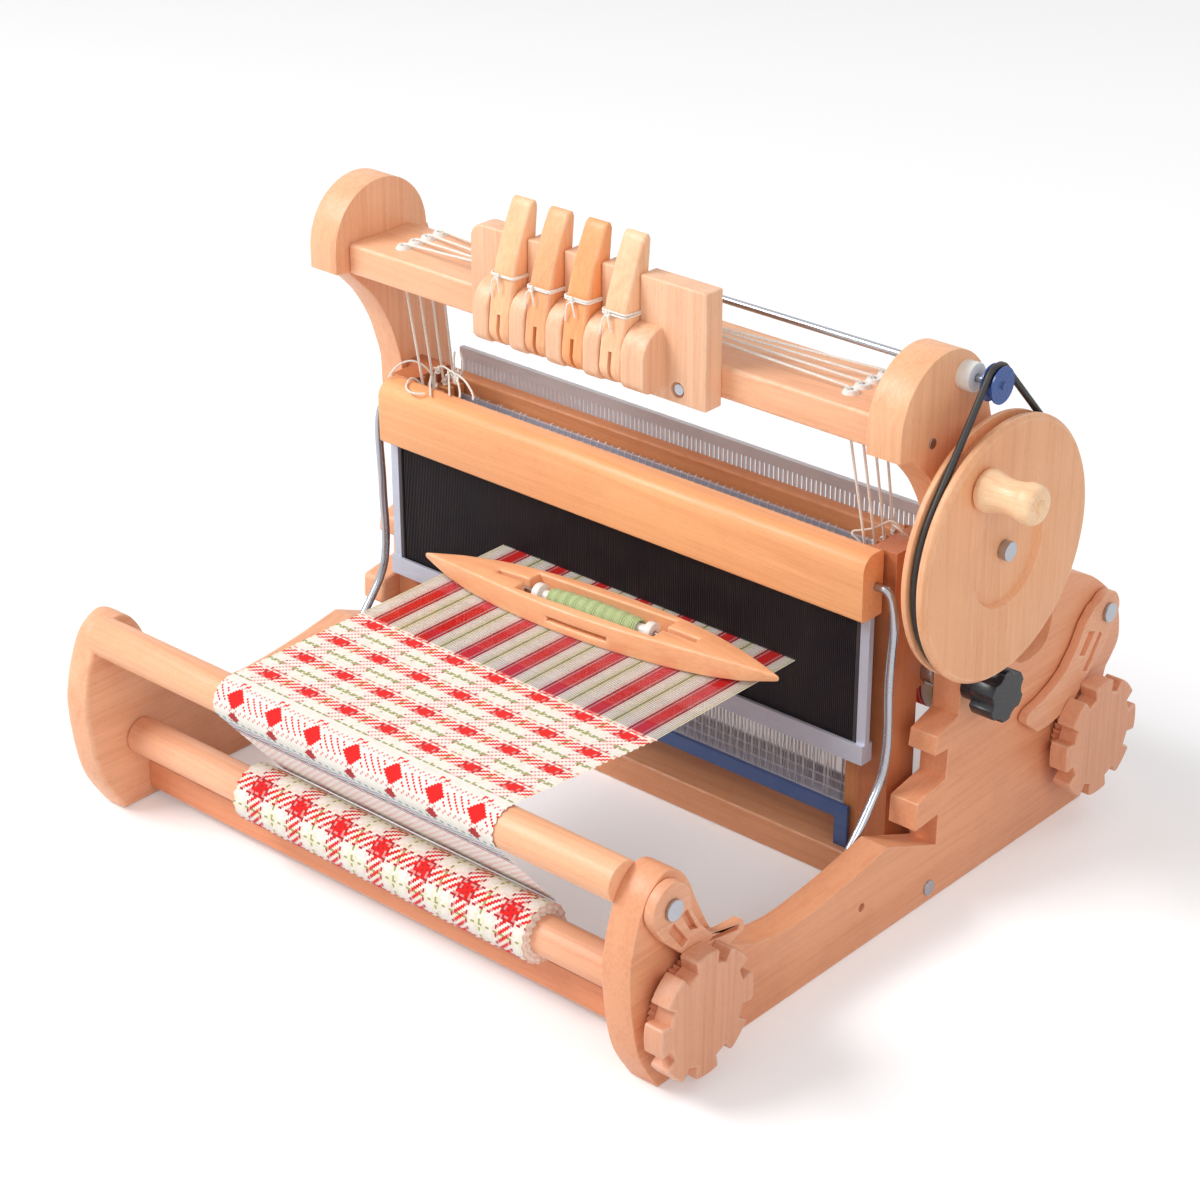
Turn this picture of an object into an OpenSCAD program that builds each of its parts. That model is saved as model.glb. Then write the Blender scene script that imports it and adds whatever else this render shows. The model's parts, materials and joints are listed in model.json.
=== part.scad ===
// Compact table loom with four shafts, hand levers and a bobbin winder.
// X runs along the beams, Y from the front to the back, Z up.
// The origin is on the underside of the bottom stretcher, in the middle plane.

/* [Side frames] */
// Thickness of a side frame and of a castle post
frame_t = 22; // [20:1:24]
// Height of the upright's rounded top
upright_top = 196; // [194:1:197]

/* [Front and back beams] */
// Place of the breast beam's axis, front to back
breast_y = -278; // [-279:0.5:-277]
// Height of the breast and back beam axes
breast_z = 139.7; // [139:0.1:140]
// Radius of the breast and back beams
breast_r = 13.8; // [12:0.1:14]
// Place of the back beam's axis, front to back
back_y = 180; // [176:1:184]
// Place of the cloth beam's axis, front to back
cloth_y = -252.6; // [-254:0.2:-251]
// Height of the cloth beam's axis
cloth_z = 52.7; // [51:0.1:54]
// Place of the warp beam's axis, front to back
warp_y = 170; // [168:1:172]
// Height of the warp beam's axis
warp_z = 62; // [60:1:64]
// Radius of the cloth and warp beams
roller_r = 13.3; // [12:0.1:14]
// Radius of the journals that turn in the side frames
journal_r = 8; // [7:0.5:9]

/* [Stretchers] */
// Height of the bottom stretcher
stretcher_h = 22; // [20:1:22]
// Front face of the bottom stretcher
stretcher_front = -14; // [-15:1:-12]
// Depth of the bottom stretcher, front to back
stretcher_depth = 54; // [50:1:56]
// Front face of the front stretcher
front_rail_y = -248; // [-249:1:-247]
// Thickness of the front stretcher, front to back
front_rail_t = 18; // [14:1:20]
// Underside of the front stretcher
front_rail_z = 8; // [6:1:9]
// Height of the front stretcher
front_rail_h = 22; // [18:1:22]

/* [Castle] */
// Centre of the round castle head, front to back
head_y = -6; // [-8:1:-4]
// Height of the centre of the castle head
head_z = 351; // [350:1:353]
// Radius of the castle head
head_r = 45; // [43:1:46]
// Extra thickness of the head on its inner face
head_extra = 4; // [3:0.5:5]
// Front face of the castle board
board_front = -39; // [-41:1:-38]
// Depth of the castle board, front to back
board_depth = 62; // [60:1:64]
// Underside of the castle board
board_z = 334; // [333:1:335]
// Thickness of the castle board
board_h = 22.5; // [20:0.5:24]
// Front face of the castle's rear rail
rail_front = 34; // [34:0.5:35]
// Thickness of the rear rail, front to back
rail_t = 11; // [10:1:12]
// Underside of the rear rail
rail_z = 222; // [220:1:226]
// Height of the rear rail
rail_h = 21; // [20:1:22]

/* [Shafts] */
// Number of shafts and levers
shaft_count = 4; // [4:1:4]
// Front to back place of the first shaft
shaft_y = -1; // [-1.2:0.1:-0.8]
// Distance from one shaft to the next
shaft_pitch = 10; // [9.9:0.1:10]
// Thickness of a shaft, front to back
shaft_t = 6.5; // [6:0.5:6.5]
// How much shorter than the reed a shaft is, at each end
shaft_short = 2.4; // [2.4:0.1:3]
// How far a shaft's tongue reaches into the guide board
tongue_reach = 3.6; // [3:0.1:4]
// Width of a shaft's upright side, tongue included
shaft_side_w = 16; // [14:1:18]
// Top of a shaft's sides
shaft_top = 240; // [239:1:242]
// Top of the guide boards
guide_top = 250; // [248:1:251]
// How far a lever lifts its shaft
shaft_lift = 34; // [30:1:36]
// Height of the middle of the lower heddle bar
lower_bar_z = 46; // [45:0.5:47]
// Height of the middle of the upper heddle bar
upper_bar_z = 228; // [226:1:230]
// Height of a heddle bar
heddle_bar_h = 10; // [8:1:10]
// Thickness of a heddle bar
heddle_bar_t = 2.4; // [2:0.2:3]

/* [Levers] */
// Front face of the lever block's plate
plate_front = -55; // [-56:1:-54]
// Distance from one lever to the next
lever_pitch = 32.4; // [32:0.1:32.6]
// Middle plane of the first lever
lever_x = -54.2; // [-55:0.1:-54]
// Thickness of a lever
lever_t = 18.7; // [18:0.1:19]
// Front to back place of the lever axis
lever_y = -61.5; // [-62:0.5:-61]
// Height of the lever axis
lever_z = 348; // [347:1:348]
// Radius of the lever pin
lever_pin_r = 3; // [2.5:0.5:3.5]

/* [Beater] */
// Front to back place of the beater pivot
beater_y = -71; // [-72:0.5:-70]
// Height of the beater pivot
beater_z = 31; // [30:0.5:32]
// How far the cap reaches past the reed at each end
cap_past = 8; // [7:1:9]
// From the cap's end to the middle of an arm
arm_off = 13.5; // [13:0.5:14]
// Room at each side of an arm's middle, up to the guide board and the side frame
arm_gap = 4.5; // [4.5:0.5:5]
// Front face of the beater cap
cap_front = -29; // [-30:0.5:-28.5]
// Thickness of the beater cap, front to back
cap_t = 21.5; // [20:0.5:21.5]
// Underside of the beater cap
cap_z = 206; // [205:1:208]
// Height of the beater cap
cap_h = 46; // [42:1:46]
// Radius of the steel rod of a beater arm
arm_r = 3; // [2.5:0.1:3.2]
// Half of the length of the reed
reed_half = 209; // [207:0.5:209.5]
// Thickness of the reed, front to back
reed_t = 5; // [4:0.5:6]
// Distance from one reed dent to the next
dent_pitch = 5; // [5:1:5]

/* [Winder] */
// Front to back place of the drive wheel's axis
wheel_y = 18; // [17:1:20]
// Height of the drive wheel's axis
wheel_z = 265.3; // [264:0.1:266]
// Radius of the drive wheel
wheel_r = 88; // [86:1:88]
// Gap between the side frame and the drive wheel
wheel_gap = 16; // [15:0.5:17]
// Thickness of the drive wheel
wheel_t = 20; // [19:1:22]
// Radius of the bottom of the belt groove
groove_r = 80; // [78:1:81]
// Front to back place of the winder spindle
spindle_y = 11; // [10:0.5:12]
// Height of the winder spindle
spindle_z = 376.5; // [376:0.5:377]
// Radius of the bottom of the pulley's groove
pulley_r = 9; // [8.5:0.5:10]
// Radius of the winder spindle
spindle_r = 2.5; // [2:0.1:3]
// Length of the crank handle
handle_l = 41; // [38:1:44]

/* [Web and warp] */
// Front to back place of the fell, where the web ends
fell_y = -157; // [-160:1:-155]
// Thickness of the web
web_t = 1.4; // [1:0.1:1.6]
// Left edge of the web and the warp
web_left = -107; // [-108:1:-106]
// Right edge of the web on the breast beam
web_right = 143; // [142:1:145]
// Right edge of the warp at the fell
warp_right = 157; // [155:1:160]
// Radius of the cloth roll
cloth_roll_r = 20.5; // [18:0.5:21]
// Radius of the warp roll
warp_roll_r = 24; // [20:1:26]

/* [Shuttle] */
// Length of the shuttle
shuttle_l = 300; // [290:1:310]
// Width of the shuttle
shuttle_w = 44; // [42:1:46]
// Height of the shuttle
shuttle_h = 18; // [17:0.5:19]
// Middle of the shuttle, left to right
shuttle_x = 28; // [26:1:30]
// Middle of the shuttle, front to back
shuttle_y = -71; // [-72:1:-70]
// Turn of the shuttle about a vertical axis
shuttle_turn = 3.9; // [3:0.1:4.5]

/* [Fits] */
// Radial clearance of a turning journal
run_gap = 0.06; // [0.02:0.01:0.1]
// Clearance of sliding wood and of cloth from its neighbours
soft_gap = 0.3; // [0.2:0.05:0.4]

/* [Hidden] */
$fn = 48;

// Sizes across the loom that follow the reed's length
cap_half = reed_half + cap_past;
arm_x = cap_half + arm_off;
half_in = arm_x + arm_gap;
shaft_half = reed_half - shaft_short;
guide_in = shaft_half - tongue_reach;
guide_out = arm_x - arm_gap;
half_out = half_in + frame_t;
wheel_x = half_out + wheel_gap;
head_in = half_in - head_extra;
board_top = board_z + board_h;
wheel_out = wheel_x + wheel_t;
// Middle plane of the web and the warp
thread_z = breast_z + breast_r + soft_gap + web_t / 2;
thread_t = 1;
thread_w = 1.4;
// Eyelets of the lift cords
eyelet_inset = 11.6;
eyelet_x = shaft_half - eyelet_inset;
eyelet_y = -20;
eyelet_pitch = 12;
eyelet_r = 3;
cord_r = 0.9;
// Clamp knob, on the right side only
clamp_y = 36;
clamp_z = 153;
clamp_stem_r = 4;
clamp_boss_r = 11;
knob_r = 18.5;
knob_t = 18;
// Ratchets and hand wheels
ratchet_r = 33;
ratchet_x = half_out + 2;
ratchet_t = 7;
star_t = 14;
star_r = 43;
star_notch = 9;
// Belt groove of the drive wheel
groove_in = 5;
groove_w = 7;
belt_x = wheel_x + groove_in + groove_w / 2;
// Screws and bolts
bolt_y = stretcher_front + 17;
bolt_head_r = 5.5;
bolt_seat_x = half_in + 10;
small_screw_r = 3.5;
screw_rise = 1.2;
pivot_screw_r = 3;
pivot_head_r = 7;
axle_r = 5;
axle_head_r = 6.5;
// Extra length by which a cutting body passes a face
past = 1;

// A smooth outline through the given points, closed, by Catmull-Rom pieces
function spline_point(a, b, c, d, t) = 0.5 * (2 * b + (c - a) * t
    + (2 * a - 5 * b + 4 * c - d) * t * t + (3 * b - a - 3 * c + d) * t * t * t);
function open_spline(p, n) = [for (i = [0 : len(p) - 2]) for (k = [0 : n - 1])
    spline_point(p[max(i - 1, 0)], p[i], p[i + 1], p[min(i + 2, len(p) - 1)], k / n)];
function arc(c, r, a0, a1, n) = [for (k = [0 : n])
    c + r * [cos(a0 + (a1 - a0) * k / n), sin(a0 + (a1 - a0) * k / n)]];

// Turns a front-to-back outline (Y, Z) into a slab from x0 to x1
module slab(x0, x1) {
    translate([x0, 0, 0]) rotate([90, 0, 90]) linear_extrude(height = x1 - x0) children();
}
module box(x0, x1, y0, y1, z0, z1) {
    translate([x0, y0, z0]) cube([x1 - x0, y1 - y0, z1 - z0]);
}
module rod_x(x0, x1, y, z, r) {
    translate([x0, y, z]) rotate([0, 90, 0]) cylinder(h = x1 - x0, r = r);
}
module both_sides() {
    children();
    mirror([1, 0, 0]) children();
}

// Side frames
post_front = [[-272, 0], [-288, 27], [-295, 54], [-298, 87], [-296, 104], [-291, 122], [-282, 140],
    [-268, 149.5], [-256, 147], [-246, 136], [-236, 114], [-222, 88], [-204, 70], [-180, 58],
    [-148, 52], [-118, 53], [-85, 57], [-45, 64]];
valley = [[82, 165], [89, 148], [100, 141], [114, 141], [126, 146], [131, 158], [132, 172], [134, 186],
    [142, 191], [156, 187], [180, 175], [202, 157], [214, 142], [219, 126], [219, 112], [212, 102],
    [205, 94], [203, 78], [204, 60], [200, 34], [186, 0]];
module frame_outline() {
    polygon(concat(
        open_spline(post_front, 5),
        [[-45, 64], [10, 41], [10.5, 64], [-15, 62], [-14, 82], [17, 88], [18, 110], [3, 111],
            [5, 124], [28, 131], [28, 168], [24, 182], [17, upright_top], [70, upright_top], [78, 184]],
        open_spline(valley, 4),
        [[186, 0]]));
}
module side_frame(clamped) {
    color("burlywood") difference() {
        slab(half_in, half_out) frame_outline();
        rod_x(half_in - past, half_out + past, cloth_y, cloth_z, journal_r + run_gap);
        rod_x(half_in - past, half_out + past, warp_y, warp_z, journal_r + run_gap);
        rod_x(half_in - past, half_out + past, beater_y, beater_z, arm_r + run_gap);
        if (clamped) {
            rod_x(half_in - past, half_out + past, clamp_y, clamp_z, clamp_stem_r + run_gap);
        }
        rod_x(bolt_seat_x, half_out + past, bolt_y, stretcher_h / 2, bolt_head_r);
    }
}
module side_frame_left() mirror([1, 0, 0]) side_frame(false);
module side_frame_right() side_frame(true);

// Beams and stretchers
module breast_beam() {
    color("burlywood") rod_x(-half_in, half_in, breast_y, breast_z, breast_r);
}
module back_beam() {
    color("burlywood") rod_x(-half_in, half_in, back_y, breast_z, breast_r);
}
module front_stretcher() {
    color("burlywood") box(-half_in, half_in, front_rail_y, front_rail_y + front_rail_t,
        front_rail_z, front_rail_z + front_rail_h);
}
module bottom_stretcher() {
    color("peru") box(-half_in, half_in, stretcher_front, stretcher_front + stretcher_depth,
        0, stretcher_h);
}

// Fixed screws, bolt heads, the spacer of the clamp and the bolt that the drive wheel turns on
block_screw = [84.7, 338.4];
block_screw_r = 4;
counterbore_r = 5.5;
counterbore_depth = 3;
pawl_pivots = [[-270, 130], [188, 148]];
pawl_t = 7.6;
pawl_x = half_out + 1;
module fasteners() {
    color("silver") both_sides() {
        rod_x(bolt_seat_x, half_out + 1.5, bolt_y, stretcher_h / 2, bolt_head_r);
        rod_x(half_out, half_out + screw_rise, board_front + 20, board_z + 6, small_screw_r);
    }
    color([0.08, 0.08, 0.09]) difference() {
        rod_x(guide_out, half_in, clamp_y, clamp_z, clamp_boss_r);
        rod_x(guide_out - past, half_in + past, clamp_y, clamp_z, clamp_stem_r + run_gap);
    }
    color("silver") translate([block_screw[0], plate_front + counterbore_depth, block_screw[1]])
        rotate([90, 0, 0]) cylinder(h = counterbore_depth - screw_rise, r = block_screw_r);
    color("silver") for (p = pawl_pivots) {
        rod_x(half_out, pawl_x + pawl_t + past, p[0], p[1], pivot_screw_r);
        rod_x(pawl_x + pawl_t + soft_gap, pawl_x + pawl_t + 3, p[0], p[1], pivot_head_r);
    }
    color("silver") {
        rod_x(half_out, wheel_out - 3, wheel_y, wheel_z, axle_r);
        rod_x(wheel_out - dish_depth + soft_gap, wheel_out + 2, wheel_y, wheel_z, axle_head_r);
    }
}

// Castle posts: a concave post that carries a round head
post_back = [[40, head_z], [54, 305], [61, 270], [66, 235], [70, upright_top]];
post_front_curve = [[17, upright_top], [14, 225], [13, 250], [9, 265], [4, 280], [-3, 294],
    [-12, 308], [-24, 321], [-38, board_z]];
module post_outline() {
    polygon(concat(
        open_spline(post_front_curve, 4),
        [[-38, board_z], [head_y - head_r, board_z + 2]],
        arc([head_y, head_z], head_r, 180, 0, 32),
        open_spline(post_back, 4),
        [[70, upright_top]]));
}
module head_outline() {
    intersection() {
        post_outline();
        translate([head_y - head_r, board_z]) square([2 * head_r + 20, 2 * head_r]);
    }
}
module castle_post(winder) {
    color("burlywood") difference() {
        union() {
            slab(half_in, half_out) post_outline();
            slab(head_in, half_in) head_outline();
        }
        if (winder) {
            rod_x(head_in - past, half_out + past, spindle_y, spindle_z, spindle_r + 1);
        }
    }
}
module castle_post_left() mirror([1, 0, 0]) castle_post(false);
module castle_post_right() castle_post(true);

// Guide boards: vertical grooves carry the tongues of the shafts, a thin web stands behind
// the thick part, a bridge at the top reaches the castle post, and the clamp has its own lug
guide_back = 23;
guide_web_t = 7;
function at_shaft(k) = shaft_y + k * shaft_pitch;
module shaft_guide(clamped) {
    groove_half = shaft_t / 2 + soft_gap;
    web_x = guide_in + guide_web_t - past;
    color("chocolate") difference() {
        union() {
            box(guide_in, guide_out, shaft_y - 5, guide_back, stretcher_h, guide_top);
            box(guide_in, guide_in + guide_web_t, guide_back - past, rail_front, stretcher_h, guide_top);
            box(web_x, half_in, 18, rail_front, upright_top + 9, guide_top);
            if (clamped) {
                box(web_x, guide_out, guide_back - past, clamp_y + 9,
                    clamp_z - clamp_boss_r, clamp_z + clamp_boss_r);
            }
        }
        for (k = [0 : shaft_count - 1])
            box(guide_in - past, shaft_half + soft_gap, at_shaft(k) - groove_half, at_shaft(k) + groove_half,
                stretcher_h - past, guide_top + past);
        if (clamped) {
            rod_x(guide_in, guide_out + past, clamp_y, clamp_z, clamp_stem_r + run_gap);
        }
    }
}
module shaft_guide_left() mirror([1, 0, 0]) shaft_guide(false);
module shaft_guide_right() shaft_guide(true);

module castle_board() {
    color("burlywood") difference() {
        box(-head_in, head_in, board_front, board_front + board_depth, board_z, board_top);
        for (s = [-1, 1]) for (k = [0 : shaft_count - 1])
            translate([s * eyelet_x, at_eyelet(k), board_z - past])
                cylinder(h = board_h + 2 * past, r = eyelet_r);
    }
}
module castle_rail() {
    color("sandybrown") box(-half_in, half_in, rail_front, rail_front + rail_t, rail_z, rail_z + rail_h);
}
// White comb fixed to the back of the rear rail
raddle_pitch = 4;
raddle_t = 4;
raddle_inset = 28;
tine_w = 2;
tine_t = 2;
comb_low = rail_z + 3;
comb_base = rail_z + 13;
comb_top = rail_z + 38;
comb_band = 8;
module raddle() {
    front = rail_front + rail_t;
    tine_y = front + (raddle_t - tine_t) / 2;
    half = half_in - raddle_inset;
    color("white") {
        box(-half, half, front, front + raddle_t, comb_low, comb_base);
        box(-half, half, front, front + raddle_t, comb_top - comb_band, comb_top);
        for (x = [-half : raddle_pitch : half - tine_w])
            box(x, x + tine_w, tine_y, tine_y + tine_t, comb_base - past, comb_top - comb_band + past);
    }
}
eyelet_depth = 8;
eyelet_hole_r = 2.1;
function at_eyelet(k) = eyelet_y + k * eyelet_pitch;
module cord_eyelets() {
    color("white") for (s = [-1, 1]) for (k = [0 : shaft_count - 1])
        translate([s * eyelet_x, at_eyelet(k), board_top]) difference() {
            union() {
                cylinder(h = 2.5, r1 = 5.6, r2 = 4.4, $fn = 32);
                translate([0, 0, -eyelet_depth]) cylinder(h = eyelet_depth + 0.5, r = eyelet_r);
            }
            translate([0, 0, -eyelet_depth - past]) cylinder(h = eyelet_depth + 6, r = eyelet_hole_r);
        }
}

// Lever block: a plate with a slot for each lever, rounded lobes between them and a wide end lobe
block_left = -96;
block_right = 108;
block_low = 329;
block_top = 409;
block_round = 11;
slot_floor = 371;
slot_wall = 4;
lever_gap_w = lever_t + 2 * soft_gap;
lobe_w = lever_pitch - lever_gap_w;
lobe_low = 335.5;
lobe_front = -74;
lobe_low_r = 8;
lobe_top_r = plate_front - lobe_front;
lobe_top_z = 359;
lobe_seat = 6;
end_lobe_right = 72;
pin_right = end_lobe_right - 6;
lobe_outline = concat(
    [[plate_front + lobe_seat, lobe_low]],
    arc([lobe_front + lobe_low_r, lobe_low + lobe_low_r], lobe_low_r, 270, 180, 8),
    arc([plate_front, lobe_top_z], lobe_top_r, 180, 90, 12),
    [[plate_front + lobe_seat, lobe_top_z + lobe_top_r]]);
plate_outline = concat(
    [[block_left, block_low], [block_right, block_low], [block_right, block_top]],
    arc([block_left + block_round, block_top - block_round], block_round, 90, 180, 6));
function at_lever(k) = lever_x + k * lever_pitch;
module lever_block() {
    color("burlywood") difference() {
        union() {
            translate([0, board_front, 0]) rotate([90, 0, 0])
                linear_extrude(height = board_front - plate_front) polygon(plate_outline);
            for (k = [0 : shaft_count - 1]) let (x = at_lever(k - 0.5))
                slab(x - lobe_w / 2, x + lobe_w / 2) polygon(lobe_outline);
            slab(at_lever(shaft_count - 0.5) - lobe_w / 2, end_lobe_right) polygon(lobe_outline);
        }
        for (k = [0 : shaft_count - 1]) let (x0 = at_lever(k) - lever_gap_w / 2, x1 = x0 + lever_gap_w) {
            box(x0, x1, lobe_front - past, board_front - slot_wall, block_low - past, block_top + past);
            box(x0, x1, plate_front - past, board_front + past, slot_floor, block_top + past);
        }
        rod_x(at_lever(-0.5) - lobe_w, pin_right, lever_y, lever_z, lever_pin_r);
        translate([block_screw[0], plate_front + counterbore_depth, block_screw[1]])
            rotate([90, 0, 0]) cylinder(h = counterbore_depth + past, r = counterbore_r);
    }
}
module lever_pin() {
    color("silver") rod_x(at_lever(-0.5) - lobe_w / 2, pin_right, lever_y, lever_z, lever_pin_r);
}
// A lever: slim, leaning back, with a rounded foot round the pin and a cut for its cord
lever_foot_r = 12.4;
lever_cut_w = 3;
lever_cut_top = 359;
lever_cut_wall = 1.4;
lever_points = [[-73.9, 348], [-72.8, 358], [-71, 370], [-68.8, 381], [-65.8, 393], [-61, 406], [-56, 418],
    [-51, 428], [-49, 431.5], [-46.5, 433], [-44, 432], [-42.8, 429], [-44.5, 412], [-46, 395], [-48, 375],
    [-48.6, 362]];
module lever(k) {
    x = at_lever(k);
    color("burlywood") difference() {
        slab(x - lever_t / 2, x + lever_t / 2)
            polygon(concat(lever_points, arc([lever_y, lever_z], lever_foot_r, 5, -178, 16)));
        rod_x(x - lever_t, x + lever_t, lever_y, lever_z, lever_pin_r + run_gap);
        box(x - lever_cut_w / 2, x + lever_cut_w / 2, lever_y - 2 * lever_foot_r,
            lever_y - lever_pin_r - lever_cut_wall, lever_z - 2 * lever_foot_r, lever_cut_top);
    }
}
module lever_1() lever(0);
module lever_2() lever(1);
module lever_3() lever(2);
module lever_4() lever(3);

// A tube of round section swept along points
function unit(v) = v / norm(v);
function tangent(p, i) = unit(p[min(i + 1, len(p) - 1)] - p[max(i - 1, 0)]);
module tube(p, r, sides, level) {
    n = len(p);
    pts = [for (i = [0 : n - 1])
        let (t = tangent(p, i), a = unit(cross(t, level)), b = cross(t, a))
        for (k = [0 : sides - 1]) p[i] + r * (cos(360 * k / sides) * a + sin(360 * k / sides) * b)];
    walls = [for (i = [0 : n - 2]) for (k = [0 : sides - 1])
        let (m = (k + 1) % sides, a = i * sides, b = a + sides)
        for (f = [[a + k, b + m, a + m], [a + k, b + k, b + m]]) f];
    first_cap = [for (k = [0 : sides - 1]) k];
    last_cap = [for (k = [sides - 1 : -1 : 0]) (n - 1) * sides + k];
    polyhedron(pts, concat([first_cap], walls, [last_cap]), convexity = 4);
}
// Lift cords: from a lever's back through its slot, straight to its own eyelet at each side,
// and down to the shaft; on the right they cross one above the other
cord_off = 3;
cord_start = [-46.7, 380];
cord_in_slot = [-38, 377];
cord_bend = [-33, 373];
cord_step = 1;
module lift_cords() {
    lie = board_top + 3.7;
    color("white") for (s = [-1, 1]) for (k = [0 : shaft_count - 1])
        let (x = at_lever(k) + s * cord_off, y = at_eyelet(k), rise = s > 0 ? k * cord_step : 0)
        tube([[x, cord_start[0], cord_start[1]], [x, cord_in_slot[0], cord_in_slot[1]],
            [x, cord_bend[0], cord_bend[1] + rise],
            [s * (eyelet_x - 2.2), y, lie], [s * (eyelet_x - 0.5), y, lie - 1],
            [s * eyelet_x, y, board_top + 0.5], [s * eyelet_x, y, board_z - past],
            [s * (eyelet_x + 3), at_shaft(k), shaft_top + soft_gap]], cord_r, 8, [s, -1, 1]);
}

// Front guard that stands on the bottom stretcher
guard_inset = 6;
guard_half = guide_in - guard_inset;
guard_low = 43;
guard_high = 54;
module shaft_guard() {
    back = shaft_y - shaft_t / 2 - 1.5;
    color("steelblue") {
        box(-guard_half, guard_half, back - 3, back, guard_low, guard_high);
        both_sides() box(guard_half - 11, guard_half, back - 3, back, stretcher_h, guard_low + past);
    }
}

// Shafts: wooden sides with tongues, two heddle bars, heddles
bar_half = shaft_half - 6;
module shaft_bar(k, z) {
    box(-bar_half, bar_half, at_shaft(k) - heddle_bar_t / 2, at_shaft(k) + heddle_bar_t / 2,
        z - heddle_bar_h / 2, z + heddle_bar_h / 2);
}
module shaft_sides(k) {
    color("peru") both_sides() difference() {
        box(shaft_half - shaft_side_w, shaft_half, at_shaft(k) - shaft_t / 2, at_shaft(k) + shaft_t / 2,
            stretcher_h + soft_gap, shaft_top);
        for (z = [lower_bar_z, upper_bar_z]) shaft_bar(k, z);
    }
}
module heddle_bars(k) {
    color("lightsteelblue") for (z = [lower_bar_z, upper_bar_z]) shaft_bar(k, z);
}
// Heddles: flat wire loops round both bars, in line with the dents of the reed
heddle_w = 1.2;
heddle_t = 0.8;
heddle_inset = 8.1;
heddle_half = shaft_half - shaft_side_w - heddle_inset;
heddle_pitch = 10;
module heddles(k) {
    y = at_shaft(k);
    reach = heddle_bar_t / 2 + soft_gap;
    top = upper_bar_z + heddle_bar_h / 2 + soft_gap;
    low = lower_bar_z - heddle_bar_h / 2 - soft_gap;
    start = -heddle_half + (k % 2) * heddle_pitch / 4;
    color("whitesmoke") for (x = [start : heddle_pitch : heddle_half + 2])
        let (x0 = dent_x(x) - heddle_w / 2, x1 = x0 + heddle_w) {
            box(x0, x1, y + reach, y + reach + heddle_t, low - heddle_t, top + heddle_t);
            box(x0, x1, y - reach - heddle_t, y - reach, low - heddle_t, top + heddle_t);
            box(x0, x1, y - reach - 0.5, y + reach + 0.5, low - heddle_t, low);
            box(x0, x1, y - reach - 0.5, y + reach + 0.5, top, top + heddle_t);
        }
}
module shaft_sides_1() shaft_sides(0);
module shaft_sides_2() shaft_sides(1);
module shaft_sides_3() shaft_sides(2);
module shaft_sides_4() shaft_sides(3);
module heddle_bars_1() heddle_bars(0);
module heddle_bars_2() heddle_bars(1);
module heddle_bars_3() heddle_bars(2);
module heddle_bars_4() heddle_bars(3);
module heddles_1() heddles(0);
module heddles_2() heddles(1);
module heddles_3() heddles(2);
module heddles_4() heddles(3);

// Beater: cap, reed in a light metal frame, and two bent steel arms
dent_count = floor((2 * reed_half - 8) / dent_pitch / 2) * 2;
dent_t = 0.8;
function dent_x(x) = round(x / dent_pitch) * dent_pitch;
cap_round = 11;
cap_back_round = 4;
cap_low_round = 3;
cap_groove_half = reed_half + 7.6;
reed_y = cap_front + 10;
reed_low = 103;
reed_top = cap_z + 5;
reed_band = 9;
reed_end = 4;
module beater_cap() {
    back = cap_front + cap_t;
    top = cap_z + cap_h;
    color("burlywood") difference() {
        slab(-cap_half, cap_half) polygon(concat(
            [[back, cap_z]],
            arc([back - cap_back_round, top - cap_back_round], cap_back_round, 0, 90, 5),
            arc([cap_front + cap_round, top - cap_round], cap_round, 90, 180, 8),
            arc([cap_front + cap_low_round, cap_z + cap_low_round], cap_low_round, 180, 270, 4)));
        box(-cap_groove_half, cap_groove_half, reed_y - 0.5, reed_y + reed_t + 0.5, cap_z - past, reed_top);
    }
}
module reed() {
    back = reed_y + reed_t;
    low = reed_low + reed_band - past;
    high = reed_top - 6;
    color([0.12, 0.11, 0.11]) {
        box(-reed_half, reed_half, reed_y, back, reed_low, reed_low + reed_band);
        box(-reed_half, reed_half, reed_y, back, high - past, reed_top);
        both_sides() box(reed_half - reed_end, reed_half, reed_y, back, low, high);
        for (k = [0 : dent_count]) let (x = (k - dent_count / 2) * dent_pitch)
            box(x - dent_t / 2, x + dent_t / 2, reed_y + 0.8, back - 0.8, low, high);
    }
}
// A channel holds the reed from below, and a strip at each end stands up to the cap
channel_z = 99;
channel_h = 14;
channel_wall = 3;
strip_t = 7.2;
module beater_frame() {
    front = reed_y - channel_wall;
    back = reed_y + reed_t + channel_wall;
    half = reed_half + soft_gap + strip_t;
    color("lightgray") difference() {
        union() {
            box(-half, half, front, back, channel_z, channel_z + channel_h);
            both_sides() box(half - strip_t, half, reed_y, reed_y + reed_t, channel_z, reed_top - soft_gap);
        }
        box(-reed_half - soft_gap, reed_half + soft_gap, reed_y - soft_gap, reed_y + reed_t + soft_gap,
            reed_low - 0.2, channel_z + channel_h + past);
    }
}
// Each arm is one bent rod from the cap's end to an eye at the pivot
arm_y = cap_front + 14;
eye_r = arm_r + 1;
arm_points = [[cap_half, arm_y, 228], [arm_x - 4, arm_y, 227], [arm_x, arm_y, 220], [arm_x, arm_y, 108],
    [arm_x, arm_y - 4, 94], [arm_x, arm_y - 15, 78], [arm_x, beater_y + 11, 44], [arm_x, beater_y + 5, 37]];
module beater_arms() {
    route = concat(open_spline(arm_points, 4), [[arm_x, beater_y + 0.5, beater_z + 0.6]]);
    color("silver") both_sides() {
        tube(route, arm_r, 12, [0, 1, 0]);
        rod_x(arm_x - eye_r, arm_x + eye_r, beater_y, beater_z, eye_r);
        rod_x(arm_x, half_out - 4, beater_y, beater_z, arm_r);
    }
}

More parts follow.
